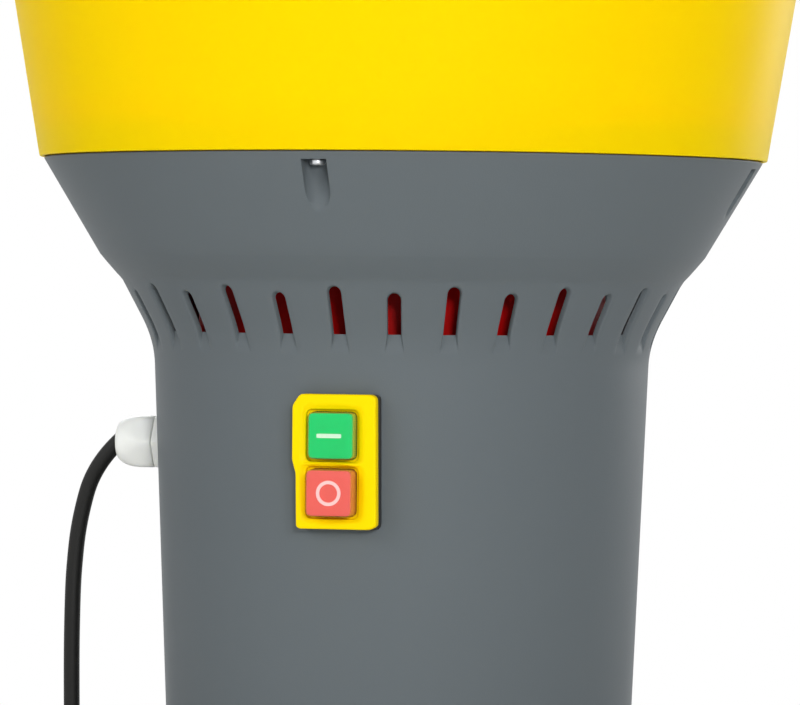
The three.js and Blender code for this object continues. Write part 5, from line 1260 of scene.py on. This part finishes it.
# The feed gate's hand parts: a fluted knob on the gate, and a wing nut on the threaded pivot
gateShape = {
    "knobPlace": (0.0, -44.0), "flutes": 8, "fluteDepth": 0.07, "belt": (334.5, 342.5),
    "knobOutline": [(0.2, 310.9, 0), (3.0, 310.9, 0), (3.0, 312.7, 0), (6.3, 312.7, 0), (6.3, 314.4, 0.6),
                    (3.9, 316.4, 1.2), (3.9, 327.5, 2.5), (6.4, 331.2, 2.0), (9.0, 334.6, 2.4), (9.0, 341.6, 2.6),
                    (6.6, 345.7, 2.2), (0.2, 345.7, 0)],
    "nutOutline": [(4.3, 312.7, 0), (8.0, 312.7, 0.3), (8.0, 314.0, 0.5), (6.4, 321.7, 0.8), (4.3, 321.7, 0.3)],
    "wing": [(4.5, 316.6), (8.0, 317.6), (11.5, 319.6), (14.0, 321.0)],  # the middle of one wing, across and up
    "wingHalf": (2.3, 3.6), "wingThickness": (1.9, 1.3), "wingTip": 0.7,  # where along the wing its end rounds off
    "boltOutline": [(0.2, 303.8, 0), (6.6, 303.8, 1.2), (8.0, 305.2, 0.8), (8.0, 307.8, 0), (3.9, 307.8, 0),
                    (3.9, 312.9, 0)],
    "thread": (313.0, 333.2), "pitch": 1.25, "crest": 4.0, "root": 3.4, "tip": (3.1, 334.1), "pitchSteps": 10,
}


# The knob turns a profile and draws it in by a cosine of the angle over its belt, which makes the flutes
def makeKnob():
    g = gateShape
    profile = rounded(g["knobOutline"], closed=False, steps=8)
    angle = aroundTurn(96)
    low, high = g["belt"]
    along = np.clip((profile[:, 1:] - low) / (high - low), 0, 1)
    depth = g["fluteDepth"] * np.sin(math.pi * along) ** 0.6 * (0.5 + 0.5 * np.cos(g["flutes"] * angle))
    knob = roundAxis(profile[:, :1] * (1 - depth), profile[:, 1:], angle, g["knobPlace"])
    putPiece("gate_knob_moulding", [capped(knob)], "gate", "black_plastic", 35, ("gate_knob",))


# A wing is a row of flattened loops along a bent line; the hub is turned
def makeWingNut():
    g = gateShape
    line = smoothRow(resampled(np.array(g["wing"]), 20))
    ahead = np.gradient(line, axis=0)
    ahead /= np.linalg.norm(ahead, axis=1)[:, None]
    side = np.stack([-ahead[:, 1], ahead[:, 0]], axis=1)
    share, tip = np.linspace(0, 1, len(line)), g["wingTip"]
    circle = np.stack([np.cos(aroundTurn(28)), np.sin(aroundTurn(28))], axis=1)
    flat = np.sign(circle) * np.abs(circle) ** 0.7
    end = np.sqrt(np.clip(1 - np.clip((share - tip) / (1 - tip), 0, 1) ** 2, 0.0004, 1))
    half = np.interp(share, (0, tip), g["wingHalf"]) * end
    thick = np.interp(share, (0, 1), g["wingThickness"]) * end
    across = line[:, None] + side[:, None] * (half[:, None] * flat[:, 0])[:, :, None]
    loops = np.stack([across[..., 0], thick[:, None] * flat[:, 1], across[..., 1]], axis=-1)
    sheets = [turned(rounded(g["nutOutline"], steps=4), 64)] + [capped(loops * [sign, 1, 1]) for sign in (1, -1)]
    putPiece("gate_wing_nut_casting", sheets, "mill_body", "zinc", 40, ("gate_wing_nut",))


# The bolt's thread is a triangle wave of height over the pitch, less the angle's share of a turn
def makePivotBolt():
    g = gateShape
    angle = aroundTurn(48)
    outline = rounded(g["boltOutline"], closed=False, steps=4)
    low, high = g["thread"]
    height = np.linspace(low, high, int((high - low) / g["pitch"] * g["pitchSteps"]))[:, None]
    wave = np.abs(((height / g["pitch"] - angle / (2 * math.pi)) % 1) * 2 - 1)
    thread = roundAxis(g["root"] + (g["crest"] - g["root"]) * wave, height, angle)
    loops = [roundAxis(outline[:, :1], outline[:, 1:], angle), thread, roundAxis(g["tip"][0], g["tip"][1], angle)[None]]
    putPiece("gate_pivot_screw", [capped(np.concatenate(loops))], "mill_body", "zinc", 30, ("gate_pivot_bolt",))


makeKnob()
makeWingNut()
makePivotBolt()


# The tie round the coil, and the plug with its ribbed sleeve and two pins
tieShape = {"out": (31.45, 60.675), "high": (1.1, 19.2), "corner": 4.0, "width": 9.0, "wall": 0.8, "columns": 24,
            "turn": -45}
plugShape = {
    "sleeve": [(0, 0, 0), (5.4, 0, 0.8), (7.2, 20, 1.0), (11.6, 23.6, 2.5), (14.3, 36, 4.0), (18.5, 43, 3.5),
               (18.5, 60, 1.6), (0, 60, 0)],
    "grooves": 5, "grooveSpan": (2, 19), "grooveDepth": 0.7, "core": 4.0,
    "heading": (4, -1.2), "rise": (44, 12.9), "start": 0.6, "rear": 5.6, "clear": 0.3,
    "pinAcross": 9.5, "pinRadius": 2.4, "pinFoot": 60.3, "pinLength": 19.0,
}


# A band round the coil's turns: its two walls as four loops that close on themselves
def makeTie():
    t = tieShape
    wide, tall = t["out"][1] - t["out"][0], t["high"][1] - t["high"][0]
    centre = (sum(t["out"]) / 2, sum(t["high"]) / 2)
    loops = []
    for wall, side in ((0, -1), (0, 1), (t["wall"], 1), (t["wall"], -1), (0, -1)):
        flat = roundedRectangle(wide + 2 * wall, tall + 2 * wall, t["corner"] + wall, t["columns"], centre)
        loops.append(standing(flat, side * t["width"] / 2))
    place = Matrix.Translation((*cordShape["coilCentre"], 0)) @ Matrix.Rotation(math.radians(t["turn"]), 4, "Z")
    band = moved(gridSheet(loops, closed=True), place)
    return putPiece("coil_band", [band], "mill_body", "rubber", 40, ("coil_tie",))


# The plug lies on the floor: its axis points along the heading and up by the rise, from the cord's end
def makePlug():
    p = plugShape
    heading, tilt = math.atan2(p["heading"][1], p["heading"][0]), math.atan2(p["rise"][1], p["rise"][0])
    along = Vector((math.cos(heading) * math.cos(tilt), math.sin(heading) * math.cos(tilt), math.sin(tilt)))
    origin = Vector(cordShape["tail"][-1]) + along * p["start"]
    origin.z = p["rear"] * math.cos(tilt) + p["clear"]
    place = Matrix.Translation(origin) @ Vector((0, 0, 1)).rotation_difference(along).to_matrix().to_4x4()
    sleeve = resampled(rounded(p["sleeve"], closed=False, steps=6), 150)
    low, high = p["grooveSpan"]
    ribs = (sleeve[:, 1] > low) & (sleeve[:, 1] < high) & (sleeve[:, 0] > p["core"])
    wave = np.clip(np.sin((sleeve[:, 1] - low) / (high - low) * 2 * math.pi * p["grooves"]) * 3, 0, 1)
    sleeve[:, 0] -= p["grooveDepth"] * wave * ribs
    pieces = [putPiece("plug_moulding", [moved(turned(sleeve, 64, closed=False), place)], "mill_body",
                       "black_plastic", 40, ("plug_body",))]
    radius, foot, end = p["pinRadius"], p["pinFoot"], p["pinFoot"] + p["pinLength"]
    profile = rounded([(0, foot, 0), (radius, foot, 0), (radius, end, 1.4), (0, end, 0)], closed=False, steps=5)
    for k, side in ((1, 1), (2, -1)):
        pin = moved(turned(profile, 32, (0, side * p["pinAcross"]), closed=False), place)
        pieces.append(putPiece("plug_contact_%d" % k, [pin], "mill_body", "pins", 40, ("plug_pin_%d" % k,)))
    return pieces


coilTie = makeTie()
plugPieces = makePlug()
